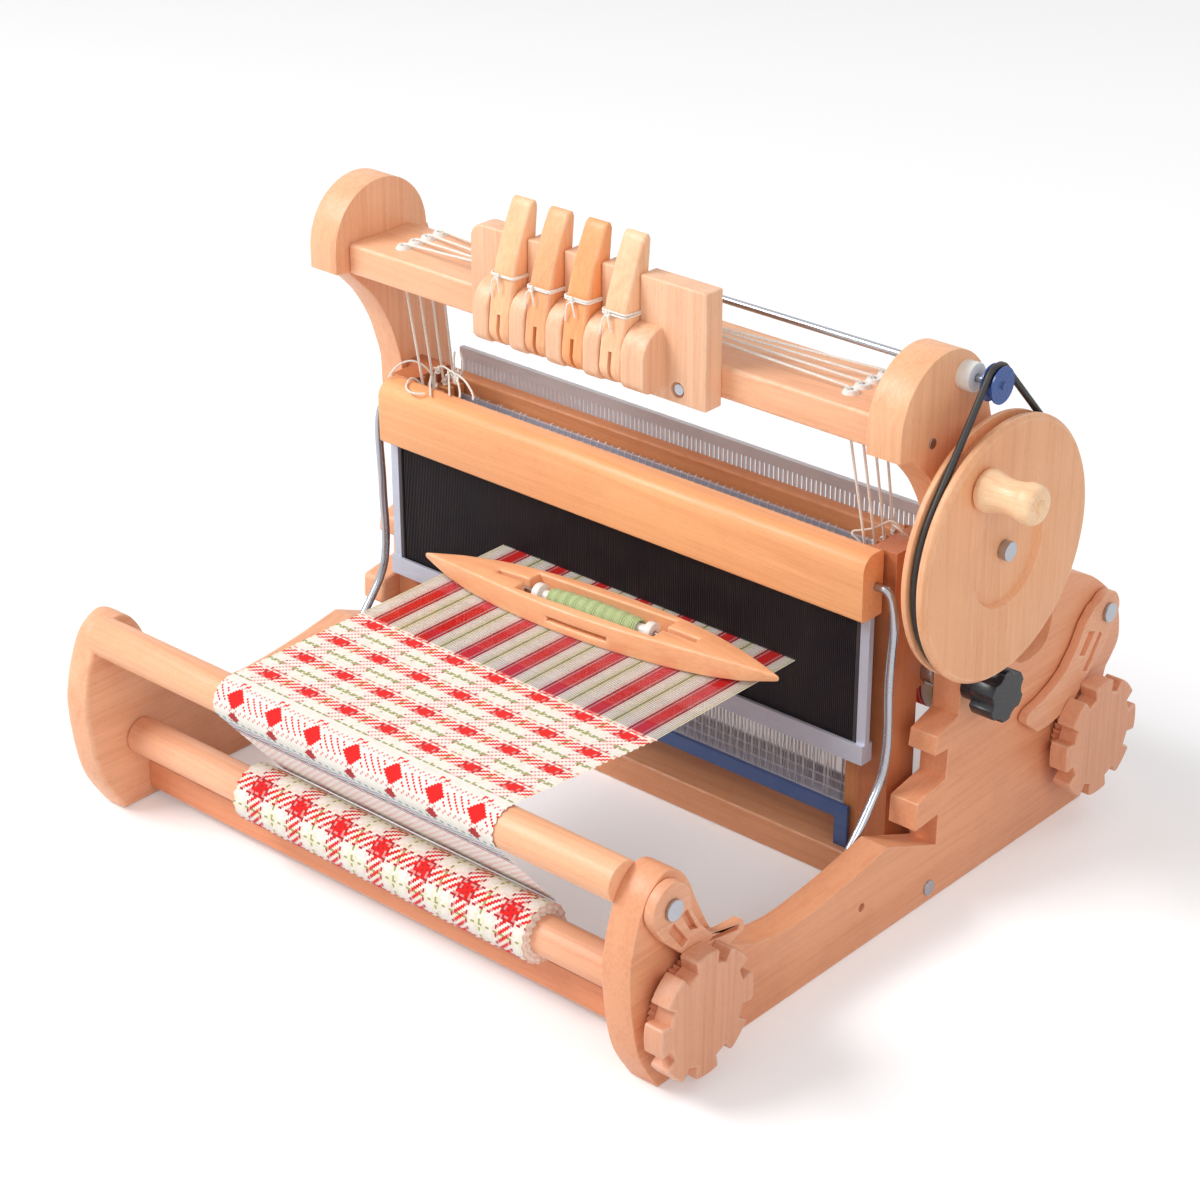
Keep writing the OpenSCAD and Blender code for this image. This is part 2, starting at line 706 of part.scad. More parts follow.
// Rollers, hand wheels with fine ratchet teeth, and pawls
module roller(y, z) {
    color("burlywood") {
        rod_x(-half_in + 1, half_in - 1, y, z, roller_r);
        rod_x(-half_out + 3, half_out + 2, y, z, journal_r);
    }
}
tooth_count = 48;
tooth_depth = 2.6;
lobe_count = 8;
function polar(r, a) = r * [cos(a), sin(a)];
module ratchet_outline() {
    polygon([for (k = [0 : tooth_count - 1]) for (j = [0, 1])
        polar(ratchet_r - j * tooth_depth, 360 * (k + j / 4) / tooth_count)]);
}
module star_outline() {
    notch = [[star_r - star_notch, -4.5], [star_r + 2, -7], [star_r + 2, 7], [star_r - star_notch, 4.5]];
    difference() {
        circle(r = star_r, $fn = 96);
        for (k = [0 : lobe_count - 1]) rotate(360 * (k + 0.5) / lobe_count) polygon(notch);
    }
}
module handwheel(y, z, flip) {
    color("burlywood") translate([0, y, z]) mirror([0, flip, 0]) {
        slab(ratchet_x, ratchet_x + ratchet_t) ratchet_outline();
        slab(ratchet_x + ratchet_t, ratchet_x + ratchet_t + star_t) star_outline();
    }
}
// Pawls, each seen with its pivot at the origin and the wheel below on the right
// The tip stands behind the steep face of the tooth at the given angle
function pawl_tip(axis, a) = [axis + polar(ratchet_r + 1.7, a + 8.3),
    axis + polar(ratchet_r - 2.15, a + 2.15), axis + polar(ratchet_r + 1.2, a - 0.2)];
front_boss_r = 17;
rear_boss_r = 15;
pocket_depth = pawl_t - 3;
front_axis = [cloth_y, cloth_z] - pawl_pivots[0];
rear_axis = [pawl_pivots[1][0] - warp_y, warp_z - pawl_pivots[1][1]];
front_pawl_points = concat(arc([0, 0], front_boss_r, 100, 215, 12), [[-6, -21], [10.8, -37.2]],
    pawl_tip(front_axis, 75), [[30, -41.5], [40, -47], [51, -52], [66, -48], [68, -46], [67, -40],
    [46, -38], [36, -34], [28, -25], [19.5, -12]], arc([0, 0], front_boss_r, -5, 90, 8));
rear_pawl_points = concat(arc([0, 0], rear_boss_r, 90, 235, 12), [[-1, -24], [5, -31], [16, -38], [28, -49]],
    pawl_tip(rear_axis, 45), [[52, -60], [64, -62], [77, -61.5], [91, -50], [92, -46], [88, -42],
    [72, -39], [56, -33], [46, -27], [34, -14], [26, 0], [16, 9]], arc([0, 0], rear_boss_r, 45, 80, 4));
front_pockets = [[[-3, -15], [2, -11], [15, -29], [10, -32]], [[9, -9], [14, -7], [24, -25], [17, -23]],
    [[34, -40], [38, -38], [63, -42], [62, -45]]];
rear_pockets = [[[4, -16], [8, -12], [26, -36], [20, -38]], [[13, -10], [22, -7], [32, -22], [24, -24]]];
module pawl(pivot, flip, points, pockets) {
    color("sandybrown") translate([0, pivot[0], pivot[1]]) mirror([0, flip, 0]) difference() {
        slab(pawl_x, pawl_x + pawl_t) polygon(points);
        rod_x(pawl_x - past, pawl_x + pawl_t + past, 0, 0, pivot_screw_r + run_gap);
        for (p = pockets) slab(pawl_x + pawl_t - pocket_depth, pawl_x + pawl_t + past) polygon(p);
    }
}
module cloth_beam() roller(cloth_y, cloth_z);
module warp_beam() roller(warp_y, warp_z);
module cloth_handwheel() handwheel(cloth_y, cloth_z, 0);
module warp_handwheel() handwheel(warp_y, warp_z, 1);
module cloth_pawl() pawl(pawl_pivots[0], 0, front_pawl_points, front_pockets);
module warp_pawl() pawl(pawl_pivots[1], 1, rear_pawl_points, rear_pockets);

module roll(x0, x1, y, z, r) {
    difference() {
        rod_x(x0, x1, y, z, r);
        rod_x(x0 - 1, x1 + 1, y, z, roller_r);
    }
}
roll_left = web_left - 10;
roll_right = web_right + 4;
module cloth_roll() {
    color("mistyrose") roll(roll_left, roll_right, cloth_y, cloth_z, cloth_roll_r);
}
module warp_roll() {
    color("linen") roll(web_left - 4, warp_right + 4, warp_y, warp_z, warp_roll_r);
}

// Angle at which a sheet leaves one round bar to lie against the other side of a second one
function cross_angle(a, ra, b, rb) = atan2(b[1] - a[1], b[0] - a[0]) - acos((ra + rb) / norm(b - a));
function over_bar(a, ra, b, rb) = let (leave = cross_angle(a, ra, b, rb))
    concat(arc(a, ra, 90, leave + 360, 14), [b + polar(rb, leave + 180)]);
function flip_y(points) = [for (p = points) [-p[0], p[1]]];
function band(points, t) = [for (i = [0 : len(points) - 1])
    let (d = unit(points[min(i + 1, len(points) - 1)] - points[max(i - 1, 0)]))
    points[i] + t / 2 * [-d[1], d[0]]];
function back_to_front(points) = [for (i = [len(points) - 1 : -1 : 0]) points[i]];
function strip(points, t) = concat(band(points, t), back_to_front(band(points, -t)));
wrap_r = breast_r + soft_gap;
web_line = concat([[fell_y, thread_z], [(fell_y + breast_y) / 2, thread_z]],
    over_bar([breast_y, breast_z], wrap_r + web_t / 2,
        [cloth_y, cloth_z], cloth_roll_r + soft_gap + web_t / 2));
// The web is wider at the fell than on the breast beam
module cloth_web() {
    inner = web_right - past;
    color("mistyrose") {
        slab(web_left, web_right) polygon(strip(web_line, web_t));
        translate([0, 0, thread_z - web_t / 2]) linear_extrude(height = web_t)
            polygon([[inner, fell_y], [warp_right, fell_y], [web_right, breast_y + 4], [inner, breast_y + 4]]);
    }
}
// Warp threads lie between the dents, run over the back beam and down to the warp roll
thread_line = concat([[fell_y, thread_z], [0, thread_z]],
    flip_y(over_bar([-back_y, thread_z - wrap_r - thread_t / 2], wrap_r + thread_t / 2,
        [-warp_y, warp_z], warp_roll_r + soft_gap + thread_t / 2)));
first_thread = (ceil(web_left / dent_pitch) + 0.5) * dent_pitch;
module warp_threads() {
    color("linen") for (x = [first_thread : dent_pitch : warp_right - 1])
        slab(x - thread_w / 2, x + thread_w / 2) polygon(strip(thread_line, thread_t));
}

// Bobbin winder: drive wheel, crank handle, belt, pulley on a long spindle, two bearings
dish_r = 36;
dish_depth = 4;
handle_at = [-32, 54];
handle_pin_r = 4;
wheel_profile = [[axle_r + run_gap, 0], [wheel_r - 3, 0], [wheel_r - 1, 2], [wheel_r - 1, groove_in],
    [groove_r, groove_in], [groove_r, groove_in + groove_w], [wheel_r - 2, groove_in + groove_w],
    [wheel_r, groove_in + groove_w + 2], [wheel_r, wheel_t - 3], [wheel_r - 3, wheel_t],
    [dish_r + 2, wheel_t], [dish_r, wheel_t - dish_depth], [axle_r + run_gap, wheel_t - dish_depth]];
module drive_wheel() {
    color("burlywood") difference() {
        translate([wheel_x, wheel_y, wheel_z]) rotate([0, 90, 0]) rotate([0, 0, 90])
            rotate_extrude($fn = 96) polygon(wheel_profile);
        rod_x(wheel_x - past, wheel_out + past, wheel_y + handle_at[0], wheel_z + handle_at[1],
            handle_pin_r + run_gap);
    }
}
handle_base_r = 14;
handle_waist_r = 11;
handle_end_r = 13;
handle_low = 8;
handle_high = handle_l - 9;
handle_screw_r = 4.5;
handle_profile = concat(
    [[0, 0], [handle_base_r - 2, 0], [handle_base_r - 0.5, 1.6], [handle_base_r, 5]],
    [for (k = [0 : 8]) [handle_waist_r + 2.2 * pow(k / 4 - 1, 2), handle_low + (handle_high - handle_low) * k / 8]],
    [[handle_end_r, handle_l - 5], [handle_end_r - 0.7, handle_l - 2], [handle_end_r - 2.4, handle_l],
    [handle_screw_r, handle_l], [handle_screw_r - 0.5, handle_l + 1.8], [handle_screw_r - 2, handle_l + 2.6],
    [0, handle_l + 2.9]]);
module crank_handle() {
    translate([0, wheel_y + handle_at[0], wheel_z + handle_at[1]]) {
        color("wheat") translate([wheel_out + 0.4, 0, 0]) rotate([0, 90, 0])
            rotate_extrude($fn = 64) polygon(handle_profile);
        color("silver") rod_x(wheel_x + 4, wheel_out + 1, 0, 0, handle_pin_r);
    }
}
belt_t = 4.8;
belt_w = 4.4;
wheel_c = [wheel_y, wheel_z];
spindle_c = [spindle_y, spindle_z];
belt_tilt = asin((groove_r - pulley_r) / norm(spindle_c - wheel_c));
belt_dir = atan2(spindle_z - wheel_z, spindle_y - wheel_y);
function belt_loop(extra) = concat(
    arc(spindle_c, pulley_r + extra, belt_dir - 90 + belt_tilt, belt_dir + 90 - belt_tilt, 16),
    arc(wheel_c, groove_r + extra, belt_dir + 90 - belt_tilt, belt_dir + 270 + belt_tilt, 56));
module drive_belt() {
    color([0.1, 0.1, 0.1]) slab(belt_x - belt_w / 2, belt_x + belt_w / 2) difference() {
        polygon(belt_loop(soft_gap + belt_t));
        polygon(belt_loop(soft_gap));
    }
}
pulley_rim_r = pulley_r + 3;
pulley_half = 4.5;
pulley_groove = 2.5;
pulley_profile = [[0, -pulley_half], [pulley_rim_r, -pulley_half], [pulley_rim_r, 1 - pulley_half],
    [pulley_r, -pulley_groove], [pulley_r, pulley_groove], [pulley_rim_r, pulley_half - 1],
    [pulley_rim_r, pulley_half], [0, pulley_half]];
spindle_tip_x = 40;
spindle_past = 6;
module winder_spindle() {
    color("steelblue") translate([belt_x, spindle_y, spindle_z]) rotate([0, 90, 0])
        rotate_extrude($fn = 64) polygon(pulley_profile);
    color("silver") rod_x(spindle_tip_x, belt_x + spindle_past, spindle_y, spindle_z, spindle_r);
}
bearing_l = 10;
bearing_r = 9.5;
inner_bearing_l = 5;
inner_bearing_r = 8;
module winder_bearings() {
    color("white") difference() {
        union() {
            rod_x(half_out, half_out + bearing_l, spindle_y, spindle_z, bearing_r);
            rod_x(head_in - inner_bearing_l, head_in, spindle_y, spindle_z, inner_bearing_r);
        }
        rod_x(head_in - inner_bearing_l - past, half_out + bearing_l + past,
            spindle_y, spindle_z, spindle_r + run_gap);
    }
}

// Six-lobed clamp knob on a threaded stem
knob_stand = 13;
knob_lobes = 6;
knob_cut_r = 7.5;
knob_cut_at = 23;
module clamp_knob() {
    knob_x = half_out + knob_stand;
    color([0.08, 0.08, 0.09]) difference() {
        union() {
            rod_x(half_out + 1, knob_x, clamp_y, clamp_z, clamp_boss_r);
            rod_x(knob_x, knob_x + knob_t, clamp_y, clamp_z, knob_r);
            rod_x(guide_in + 10, half_out + 2, clamp_y, clamp_z, clamp_stem_r);
        }
        for (a = [0 : 360 / knob_lobes : 359])
            rod_x(knob_x - past, knob_x + knob_t + past, clamp_y + knob_cut_at * cos(a),
                clamp_z + knob_cut_at * sin(a), knob_cut_r);
    }
}

// Boat shuttle lying on the warp, with a bobbin on its pin
shuttle_z = thread_z + thread_t / 2 + 0.2 + soft_gap;
shuttle_round = (pow(shuttle_l / 2, 2) + pow(shuttle_w / 2, 2)) / shuttle_w;
shuttle_bow = asin(shuttle_l / 2 / shuttle_round);
shuttle_plan = concat(
    arc([0, shuttle_w / 2 - shuttle_round], shuttle_round, 90 + shuttle_bow, 90 - shuttle_bow, 32),
    arc([0, shuttle_round - shuttle_w / 2], shuttle_round, 270 + shuttle_bow, 270 - shuttle_bow, 32));
tip_x = shuttle_l / 2 + past;
shuttle_side = [[-tip_x, 8], [-125, 3], [-100, 0.8], [-72, 0], [72, 0], [100, 0.8], [125, 3],
    [tip_x, 8], [tip_x, 12], [120, 15.5], [90, 17.4], [66, shuttle_h],
    [-66, shuttle_h], [-90, 17.4], [-120, 15.5], [-tip_x, 12]];
well_half = 58;
well_w = 27;
well_floor = 3;
pin_z = 11;
shuttle_pin_r = 1.8;
pin_slot_l = 26;
pin_slot_w = 5;
yarn_hole_half = 25;
module at_shuttle() {
    translate([shuttle_x, shuttle_y, shuttle_z]) rotate([0, 0, shuttle_turn]) children();
}
module shuttle_body() {
    color("burlywood") at_shuttle() difference() {
        intersection() {
            linear_extrude(height = shuttle_h) polygon(shuttle_plan);
            translate([0, shuttle_w, 0]) rotate([90, 0, 0]) linear_extrude(height = 2 * shuttle_w)
                polygon(shuttle_side);
        }
        box(-well_half, well_half, -well_w / 2, well_w / 2, well_floor, shuttle_h + past);
        both_sides() box(well_half, well_half + pin_slot_l, -pin_slot_w / 2, pin_slot_w / 2,
            pin_z - pin_slot_w / 2, shuttle_h + past);
        box(-yarn_hole_half, yarn_hole_half, -shuttle_w, -well_w / 2 + past, 6, 9);
    }
}
module shuttle_pin() {
    color("silver") at_shuttle() rod_x(-well_half - 20, well_half + 20, 0, pin_z, shuttle_pin_r);
}
bobbin_half = 50;
bobbin_r = 4;
bobbin_end_r = 7.6;
bobbin_end_t = 6;
module bobbin() {
    color("white") at_shuttle() difference() {
        union() {
            rod_x(-bobbin_half, bobbin_half, 0, pin_z, bobbin_r);
            both_sides() rod_x(bobbin_half - bobbin_end_t, bobbin_half, 0, pin_z, bobbin_end_r);
        }
        rod_x(-bobbin_half - past, bobbin_half + past, 0, pin_z, shuttle_pin_r + run_gap);
    }
}
// Yarn wound on the bobbin: one unbroken tube of loops over a plain core
yarn_loops = 24;
yarn_steps = 24;
yarn_r = 0.95;
yarn_coil_r = 6.3;
yarn_half = 38;
yarn_core_r = yarn_coil_r - yarn_r - 0.1;
function yarn_point(i) = let (turn = i / yarn_steps) [-yarn_half + 2 * yarn_half * turn / yarn_loops,
    yarn_coil_r * cos(360 * turn), yarn_coil_r * sin(360 * turn)];
yarn_gap = min([for (i = [0 : yarn_steps - 1])
    norm(yarn_point(i) - yarn_point(i + yarn_steps)) - 2 * yarn_r]);
echo(least_self_gap_of_the_winding = yarn_gap);
module bobbin_yarn() {
    start = yarn_point(0);
    finish = yarn_point(yarn_loops * yarn_steps);
    route = concat([start - [0, 0, 2 * yarn_r]],
        [for (i = [0 : yarn_loops * yarn_steps]) yarn_point(i)], [finish + [0, 0, 2 * yarn_r]]);
    color("palegreen") at_shuttle() translate([0, 0, pin_z]) {
        difference() {
            rod_x(-yarn_half - 4, yarn_half + 4, 0, 0, yarn_core_r);
            rod_x(-yarn_half - 5, yarn_half + 5, 0, 0, bobbin_r);
        }
        tube(route, yarn_r, 6, [1, 0, 0]);
    }
}

side_frame_left();
side_frame_right();
breast_beam();
back_beam();
front_stretcher();
bottom_stretcher();
fasteners();
castle_post_left();
castle_post_right();
shaft_guide_left();
shaft_guide_right();
castle_board();
castle_rail();
raddle();
cord_eyelets();
lever_block();
lever_pin();
lever_1();
lever_2();
lever_3();
lever_4();
lift_cords();
shaft_guard();
shaft_sides_1();
shaft_sides_2();
shaft_sides_3();
shaft_sides_4();
heddle_bars_1();
heddle_bars_2();
heddle_bars_3();
heddle_bars_4();
heddles_1();
heddles_2();
heddles_3();
heddles_4();
beater_cap();
reed();
beater_frame();
beater_arms();
cloth_beam();
cloth_handwheel();
cloth_pawl();
cloth_roll();
cloth_web();
warp_beam();
warp_handwheel();
warp_pawl();
warp_roll();
warp_threads();
drive_wheel();
crank_handle();
drive_belt();
winder_spindle();
winder_bearings();
clamp_knob();
shuttle_body();
shuttle_pin();
bobbin();
bobbin_yarn();
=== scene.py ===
import json
import math
import random

import bpy
import bmesh
from mathutils import Matrix, Vector, noise

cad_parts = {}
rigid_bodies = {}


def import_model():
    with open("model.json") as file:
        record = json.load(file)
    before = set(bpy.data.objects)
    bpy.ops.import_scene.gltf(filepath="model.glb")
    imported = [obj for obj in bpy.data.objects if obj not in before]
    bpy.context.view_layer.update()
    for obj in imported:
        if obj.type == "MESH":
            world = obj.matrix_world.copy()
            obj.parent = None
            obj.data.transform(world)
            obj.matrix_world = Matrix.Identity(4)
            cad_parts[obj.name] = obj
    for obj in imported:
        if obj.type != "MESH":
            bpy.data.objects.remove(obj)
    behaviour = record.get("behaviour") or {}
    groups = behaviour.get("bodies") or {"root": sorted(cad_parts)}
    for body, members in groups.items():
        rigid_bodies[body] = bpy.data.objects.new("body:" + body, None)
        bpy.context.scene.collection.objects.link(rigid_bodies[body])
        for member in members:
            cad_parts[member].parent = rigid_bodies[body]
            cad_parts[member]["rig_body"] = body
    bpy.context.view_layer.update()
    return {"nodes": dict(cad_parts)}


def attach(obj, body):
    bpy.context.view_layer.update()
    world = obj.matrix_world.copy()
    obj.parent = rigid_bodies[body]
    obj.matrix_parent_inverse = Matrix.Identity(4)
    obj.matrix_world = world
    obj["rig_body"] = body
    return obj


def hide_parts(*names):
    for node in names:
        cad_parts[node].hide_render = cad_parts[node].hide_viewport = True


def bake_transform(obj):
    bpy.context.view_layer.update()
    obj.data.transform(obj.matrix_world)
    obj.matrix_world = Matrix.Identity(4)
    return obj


# Table loom with four shafts, dressed with a warp and a started web.
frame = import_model()
print("loom frame loaded:", len(frame["nodes"]), "nodes")

mm = 0.001
studio = bpy.context.scene
studio.view_settings.view_transform = "Standard"

# The camera stands front right of the loom and looks down on it
loomView = {"place": (1.2067, -1.3877, 1.0750), "target": (0.013585, -0.04985, 0.16329), "lens": 89.15,
            "roll": -0.198}


def placeCamera(view):
    data = bpy.data.cameras.new("loomCamera")
    data.lens = view["lens"]
    data.sensor_width = 36
    data.clip_start = 0.05
    camera = bpy.data.objects.new("loomCamera", data)
    studio.collection.objects.link(camera)
    place = Vector(view["place"])
    aim = (Vector(view["target"]) - place).to_track_quat("-Z", "Y")
    roll = Matrix.Rotation(math.radians(view["roll"]), 4, "Z")
    camera.matrix_world = Matrix.Translation(place) @ aim.to_matrix().to_4x4() @ roll
    studio.camera = camera


placeCamera(loomView)


# Small helpers for meshes and strands
def inMetres(points):
    return [Vector(point) * mm for point in points]


def keepPiece(piece, body, material, stands=()):
    piece.data.materials.clear()
    piece.data.materials.append(material)
    if body:
        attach(piece, body)
    if stands:
        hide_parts(*stands)
    return piece


def pieceFromMesh(name, shape):
    mesh = bpy.data.meshes.new(name)
    shape.to_mesh(mesh)
    shape.free()
    piece = bpy.data.objects.new(name, mesh)
    studio.collection.objects.link(piece)
    return piece


def softenShading(shape, sharpAngle=35, flatAngle=12, flatArea=0.0001):
    # broad flat faces stay flat, curved walls and rounded edges are smooth
    for face in shape.faces:
        turns = [edge.calc_face_angle(0) for edge in face.edges]
        broad = face.calc_area() > flatArea and min(turns) > math.radians(flatAngle)
        face.smooth = not broad
    for edge in shape.edges:
        edge.smooth = edge.calc_face_angle(0) < math.radians(sharpAngle)


def addBlock(shape, low, high):
    low = Vector(low) * mm
    high = Vector(high) * mm
    size = high - low
    place = Matrix.Translation((low + high) / 2) @ Matrix.Diagonal((size.x, size.y, size.z, 1))
    return bmesh.ops.create_cube(shape, size=1, matrix=place)["verts"]


def strandCurve(name, routes, radius, sides=8, closed=False, smooth=False):
    # every route is a list of points in millimetres
    data = bpy.data.curves.new(name, "CURVE")
    data.dimensions = "3D"
    data.bevel_depth = radius * mm
    data.bevel_resolution = max(0, sides // 2 - 2)
    data.use_fill_caps = not closed
    for route in routes:
        points = inMetres(route)
        if smooth:
            spline = data.splines.new("BEZIER")
            spline.bezier_points.add(len(points) - 1)
            for knot, point in zip(spline.bezier_points, points):
                knot.co = point
                knot.handle_left_type = "AUTO"
                knot.handle_right_type = "AUTO"
            spline.resolution_u = 8
        else:
            spline = data.splines.new("POLY")
            spline.points.add(len(points) - 1)
            for knot, point in zip(spline.points, points):
                knot.co = (point.x, point.y, point.z, 1)
        spline.use_cyclic_u = closed
        spline.use_smooth = True
    curve = bpy.data.objects.new(name, data)
    studio.collection.objects.link(curve)
    return curve


def strandMesh(name, routes, radius, sides=8, closed=False, smooth=False):
    curve = strandCurve(name + "Line", routes, radius, sides, closed, smooth)
    bpy.context.view_layer.update()
    depsgraph = bpy.context.evaluated_depsgraph_get()
    mesh = bpy.data.meshes.new_from_object(curve.evaluated_get(depsgraph))
    mesh.name = name
    data = curve.data
    bpy.data.objects.remove(curve)
    bpy.data.curves.remove(data)
    piece = bpy.data.objects.new(name, mesh)
    studio.collection.objects.link(piece)
    return piece


# Node helpers
def tone(red, green, blue):
    # display colour from 0 to 255, given to the shader as linear light
    linear = [(c / 255 / 12.92) if c < 10.3 else ((c / 255 + 0.055) / 1.055) ** 2.4 for c in (red, green, blue)]
    return (*linear, 1)


def addNode(tree, kind, sockets=None, **settings):
    node = tree.nodes.new(kind)
    for name, value in settings.items():
        setattr(node, name, value)
    for socket, value in (sockets or {}).items():
        if isinstance(value, bpy.types.NodeSocket):
            tree.links.new(value, node.inputs[socket])
        else:
            node.inputs[socket].default_value = value
    return node


def mixTones(tree, factor, first, second, how="MIX"):
    node = addNode(tree, "ShaderNodeMix", {0: factor, 6: first, 7: second}, data_type="RGBA", blend_type=how)
    return node.outputs[2]


def math2(tree, operation, first, second=0.0, clamp=False):
    node = addNode(tree, "ShaderNodeMath", {0: first, 1: second}, operation=operation, use_clamp=clamp)
    return node.outputs[0]


def spread(tree, value, low, high, first=0.0, last=1.0):
    # maps low..high to first..last, clamped
    node = addNode(tree, "ShaderNodeMapRange", {"Value": value, "From Min": low, "From Max": high,
                                               "To Min": first, "To Max": last})
    return node.outputs["Result"]


def speckle(tree, vector, scale, detail=2.0, roughness=0.5):
    node = addNode(tree, "ShaderNodeTexNoise", {"Vector": vector, "Scale": scale, "Detail": detail,
                                               "Roughness": roughness})
    return node.outputs["Fac"]


def stretched(tree, vector, sizes):
    node = addNode(tree, "ShaderNodeVectorMath", {0: vector, 1: sizes}, operation="MULTIPLY")
    return node.outputs["Vector"]


def startGroup(name, inputs, outputs):
    group = bpy.data.node_groups.new(name, "ShaderNodeTree")
    for label, kind, value in inputs:
        socket = group.interface.new_socket(name=label, in_out="INPUT", socket_type="NodeSocket" + kind)
        socket.default_value = value
    for label, kind in outputs:
        group.interface.new_socket(name=label, in_out="OUTPUT", socket_type="NodeSocket" + kind)
    return group, group.nodes.new("NodeGroupInput").outputs, group.nodes.new("NodeGroupOutput").inputs


def buildBeechGrain():
    # grain runs along the X axis of the vector that comes in, in metres
    group, given, result = startGroup("beechGrain", [
        ("Vector", "Vector", (0, 0, 0)), ("Light Tone", "Color", (0.8, 0.5, 0.3, 1)),
        ("Dark Tone", "Color", (0.6, 0.3, 0.15, 1)), ("Ring Width", "Float", 0.012),
        ("Edge Wear And Highlight", "Float", 0.0), ("Dirt", "Float", 0.15)],
        [("Color", "Color"), ("Roughness", "Float"), ("Height", "Float")])
    vector = given["Vector"]
    sway = speckle(group, stretched(group, vector, (2.2, 9, 9)), 1.0, 1.0)
    shift = addNode(group, "ShaderNodeCombineXYZ", {"Y": math2(group, "MULTIPLY", sway, 0.03),
                                                   "Z": math2(group, "MULTIPLY", sway, 0.024)}).outputs[0]
    grain = addNode(group, "ShaderNodeVectorMath", {0: vector, 1: shift}, operation="ADD").outputs[0]
    parts = addNode(group, "ShaderNodeSeparateXYZ", {0: grain}).outputs
    across = math2(group, "ADD", parts["Y"], math2(group, "MULTIPLY", parts["Z"], 0.62))
    rings = math2(group, "DIVIDE", across, given["Ring Width"])
    ringWave = math2(group, "FRACT", math2(group, "ADD", rings, 40.0))
    ringLine = math2(group, "POWER", ringWave, 3.0)
    bandNoise = speckle(group, stretched(group, grain, (3, 60, 60)), 1.0, 3.0, 0.6)
    bands = spread(group, bandNoise, 0.36, 0.66)
    fibre = speckle(group, stretched(group, grain, (26, 850, 850)), 1.0, 2.0, 0.6)
    fleckNoise = speckle(group, stretched(group, grain, (260, 1900, 1900)), 1.0, 0.0)
    fleck = spread(group, fleckNoise, 0.64, 0.74)
    blotch = speckle(group, vector, 7.0, 2.0)
    growth = speckle(group, stretched(group, grain, (5, 420, 420)), 1.0, 2.0, 0.55)
    depth = math2(group, "MULTIPLY", ringLine, math2(group, "MULTIPLY", bands, 0.24))
    depth = math2(group, "ADD", depth, math2(group, "MULTIPLY", bands, 0.22))
    depth = math2(group, "ADD", depth, spread(group, growth, 0.35, 0.7, -0.12, 0.20))
    depth = math2(group, "ADD", depth, spread(group, fibre, 0.3, 0.7, -0.08, 0.10))
    depth = math2(group, "ADD", depth, spread(group, blotch, 0.35, 0.65, -0.10, 0.16), True)
    wood = mixTones(group, depth, given["Light Tone"], given["Dark Tone"])
    flecked = mixTones(group, math2(group, "MULTIPLY", fleck, 0.16), wood, given["Dark Tone"], "MULTIPLY")
    # handled edges are a little smoother, and paler from a painted highlight where the rounded edges catch light; some
    # dirt lies in patches
    patchy = spread(group, speckle(group, vector, 90.0, 3.0), 0.35, 0.7)
    wearAndHighlight = math2(group, "MULTIPLY", given["Edge Wear And Highlight"], patchy)
    # this paler tone is the painted highlight on the rounded edges
    pale = mixTones(group, 0.35, given["Light Tone"], (1, 0.86, 0.7, 1))
    edged = mixTones(group, math2(group, "MULTIPLY", wearAndHighlight, 0.45), flecked, pale)
    smudge = spread(group, speckle(group, vector, 16.0, 4.0, 0.7), 0.52, 0.75)
    soiled = mixTones(group, math2(group, "MULTIPLY", smudge, given["Dirt"]), edged, (0.62, 0.5, 0.42, 1),
                      "MULTIPLY")
    group.links.new(soiled, result["Color"])
    rough = spread(group, fibre, 0.2, 0.8, 0.34, 0.5)
    rough = math2(group, "SUBTRACT", rough, math2(group, "MULTIPLY", wearAndHighlight, 0.08))
    group.links.new(rough, result["Roughness"])
    height = math2(group, "SUBTRACT", math2(group, "MULTIPLY", fibre, 0.5), math2(group, "MULTIPLY", fleck, 0.5))
    group.links.new(height, result["Height"])
    return group


beechGrain = buildBeechGrain()


def buildFineWear():
    # faint scratches and handling marks for metal and plastic
    group, given, result = startGroup("fineWear", [
        ("Vector", "Vector", (0, 0, 0)), ("Base", "Color", (0.8, 0.8, 0.8, 1)), ("Marks", "Color", (0.5, 0.5, 0.5, 1)),
        ("Amount", "Float", 0.2), ("Low Roughness", "Float", 0.2), ("High Roughness", "Float", 0.4),
        ("Stretch", "Vector", (60, 900, 900))],
        [("Color", "Color"), ("Roughness", "Float"), ("Height", "Float")])
    longMarks = addNode(group, "ShaderNodeVectorMath", {0: given["Vector"], 1: given["Stretch"]},
                        operation="MULTIPLY").outputs[0]
    lines = speckle(group, longMarks, 1.0, 3.0, 0.6)
    cloud = speckle(group, given["Vector"], 35.0, 4.0, 0.65)
    marks = math2(group, "MULTIPLY", spread(group, cloud, 0.4, 0.72), spread(group, lines, 0.35, 0.65))
    group.links.new(mixTones(group, math2(group, "MULTIPLY", marks, given["Amount"]), given["Base"],
                             given["Marks"]), result["Color"])
    rough = addNode(group, "ShaderNodeMapRange", {"Value": marks, "To Min": given["Low Roughness"],
                                                 "To Max": given["High Roughness"]}).outputs[0]
    group.links.new(rough, result["Roughness"])
    group.links.new(lines, result["Height"])
    return group


fineWear = buildFineWear()


def newMaterial(name):
    material = bpy.data.materials.new(name)
    material.use_nodes = True
    tree = material.node_tree
    return material, tree, tree.nodes["Principled BSDF"]


# One beech material for each wooden piece: grain axis, tones and its own place in the log
grainTurns = {"X": (0, 0, 0), "Y": (0, 0, -90), "Z": (0, 90, 0)}


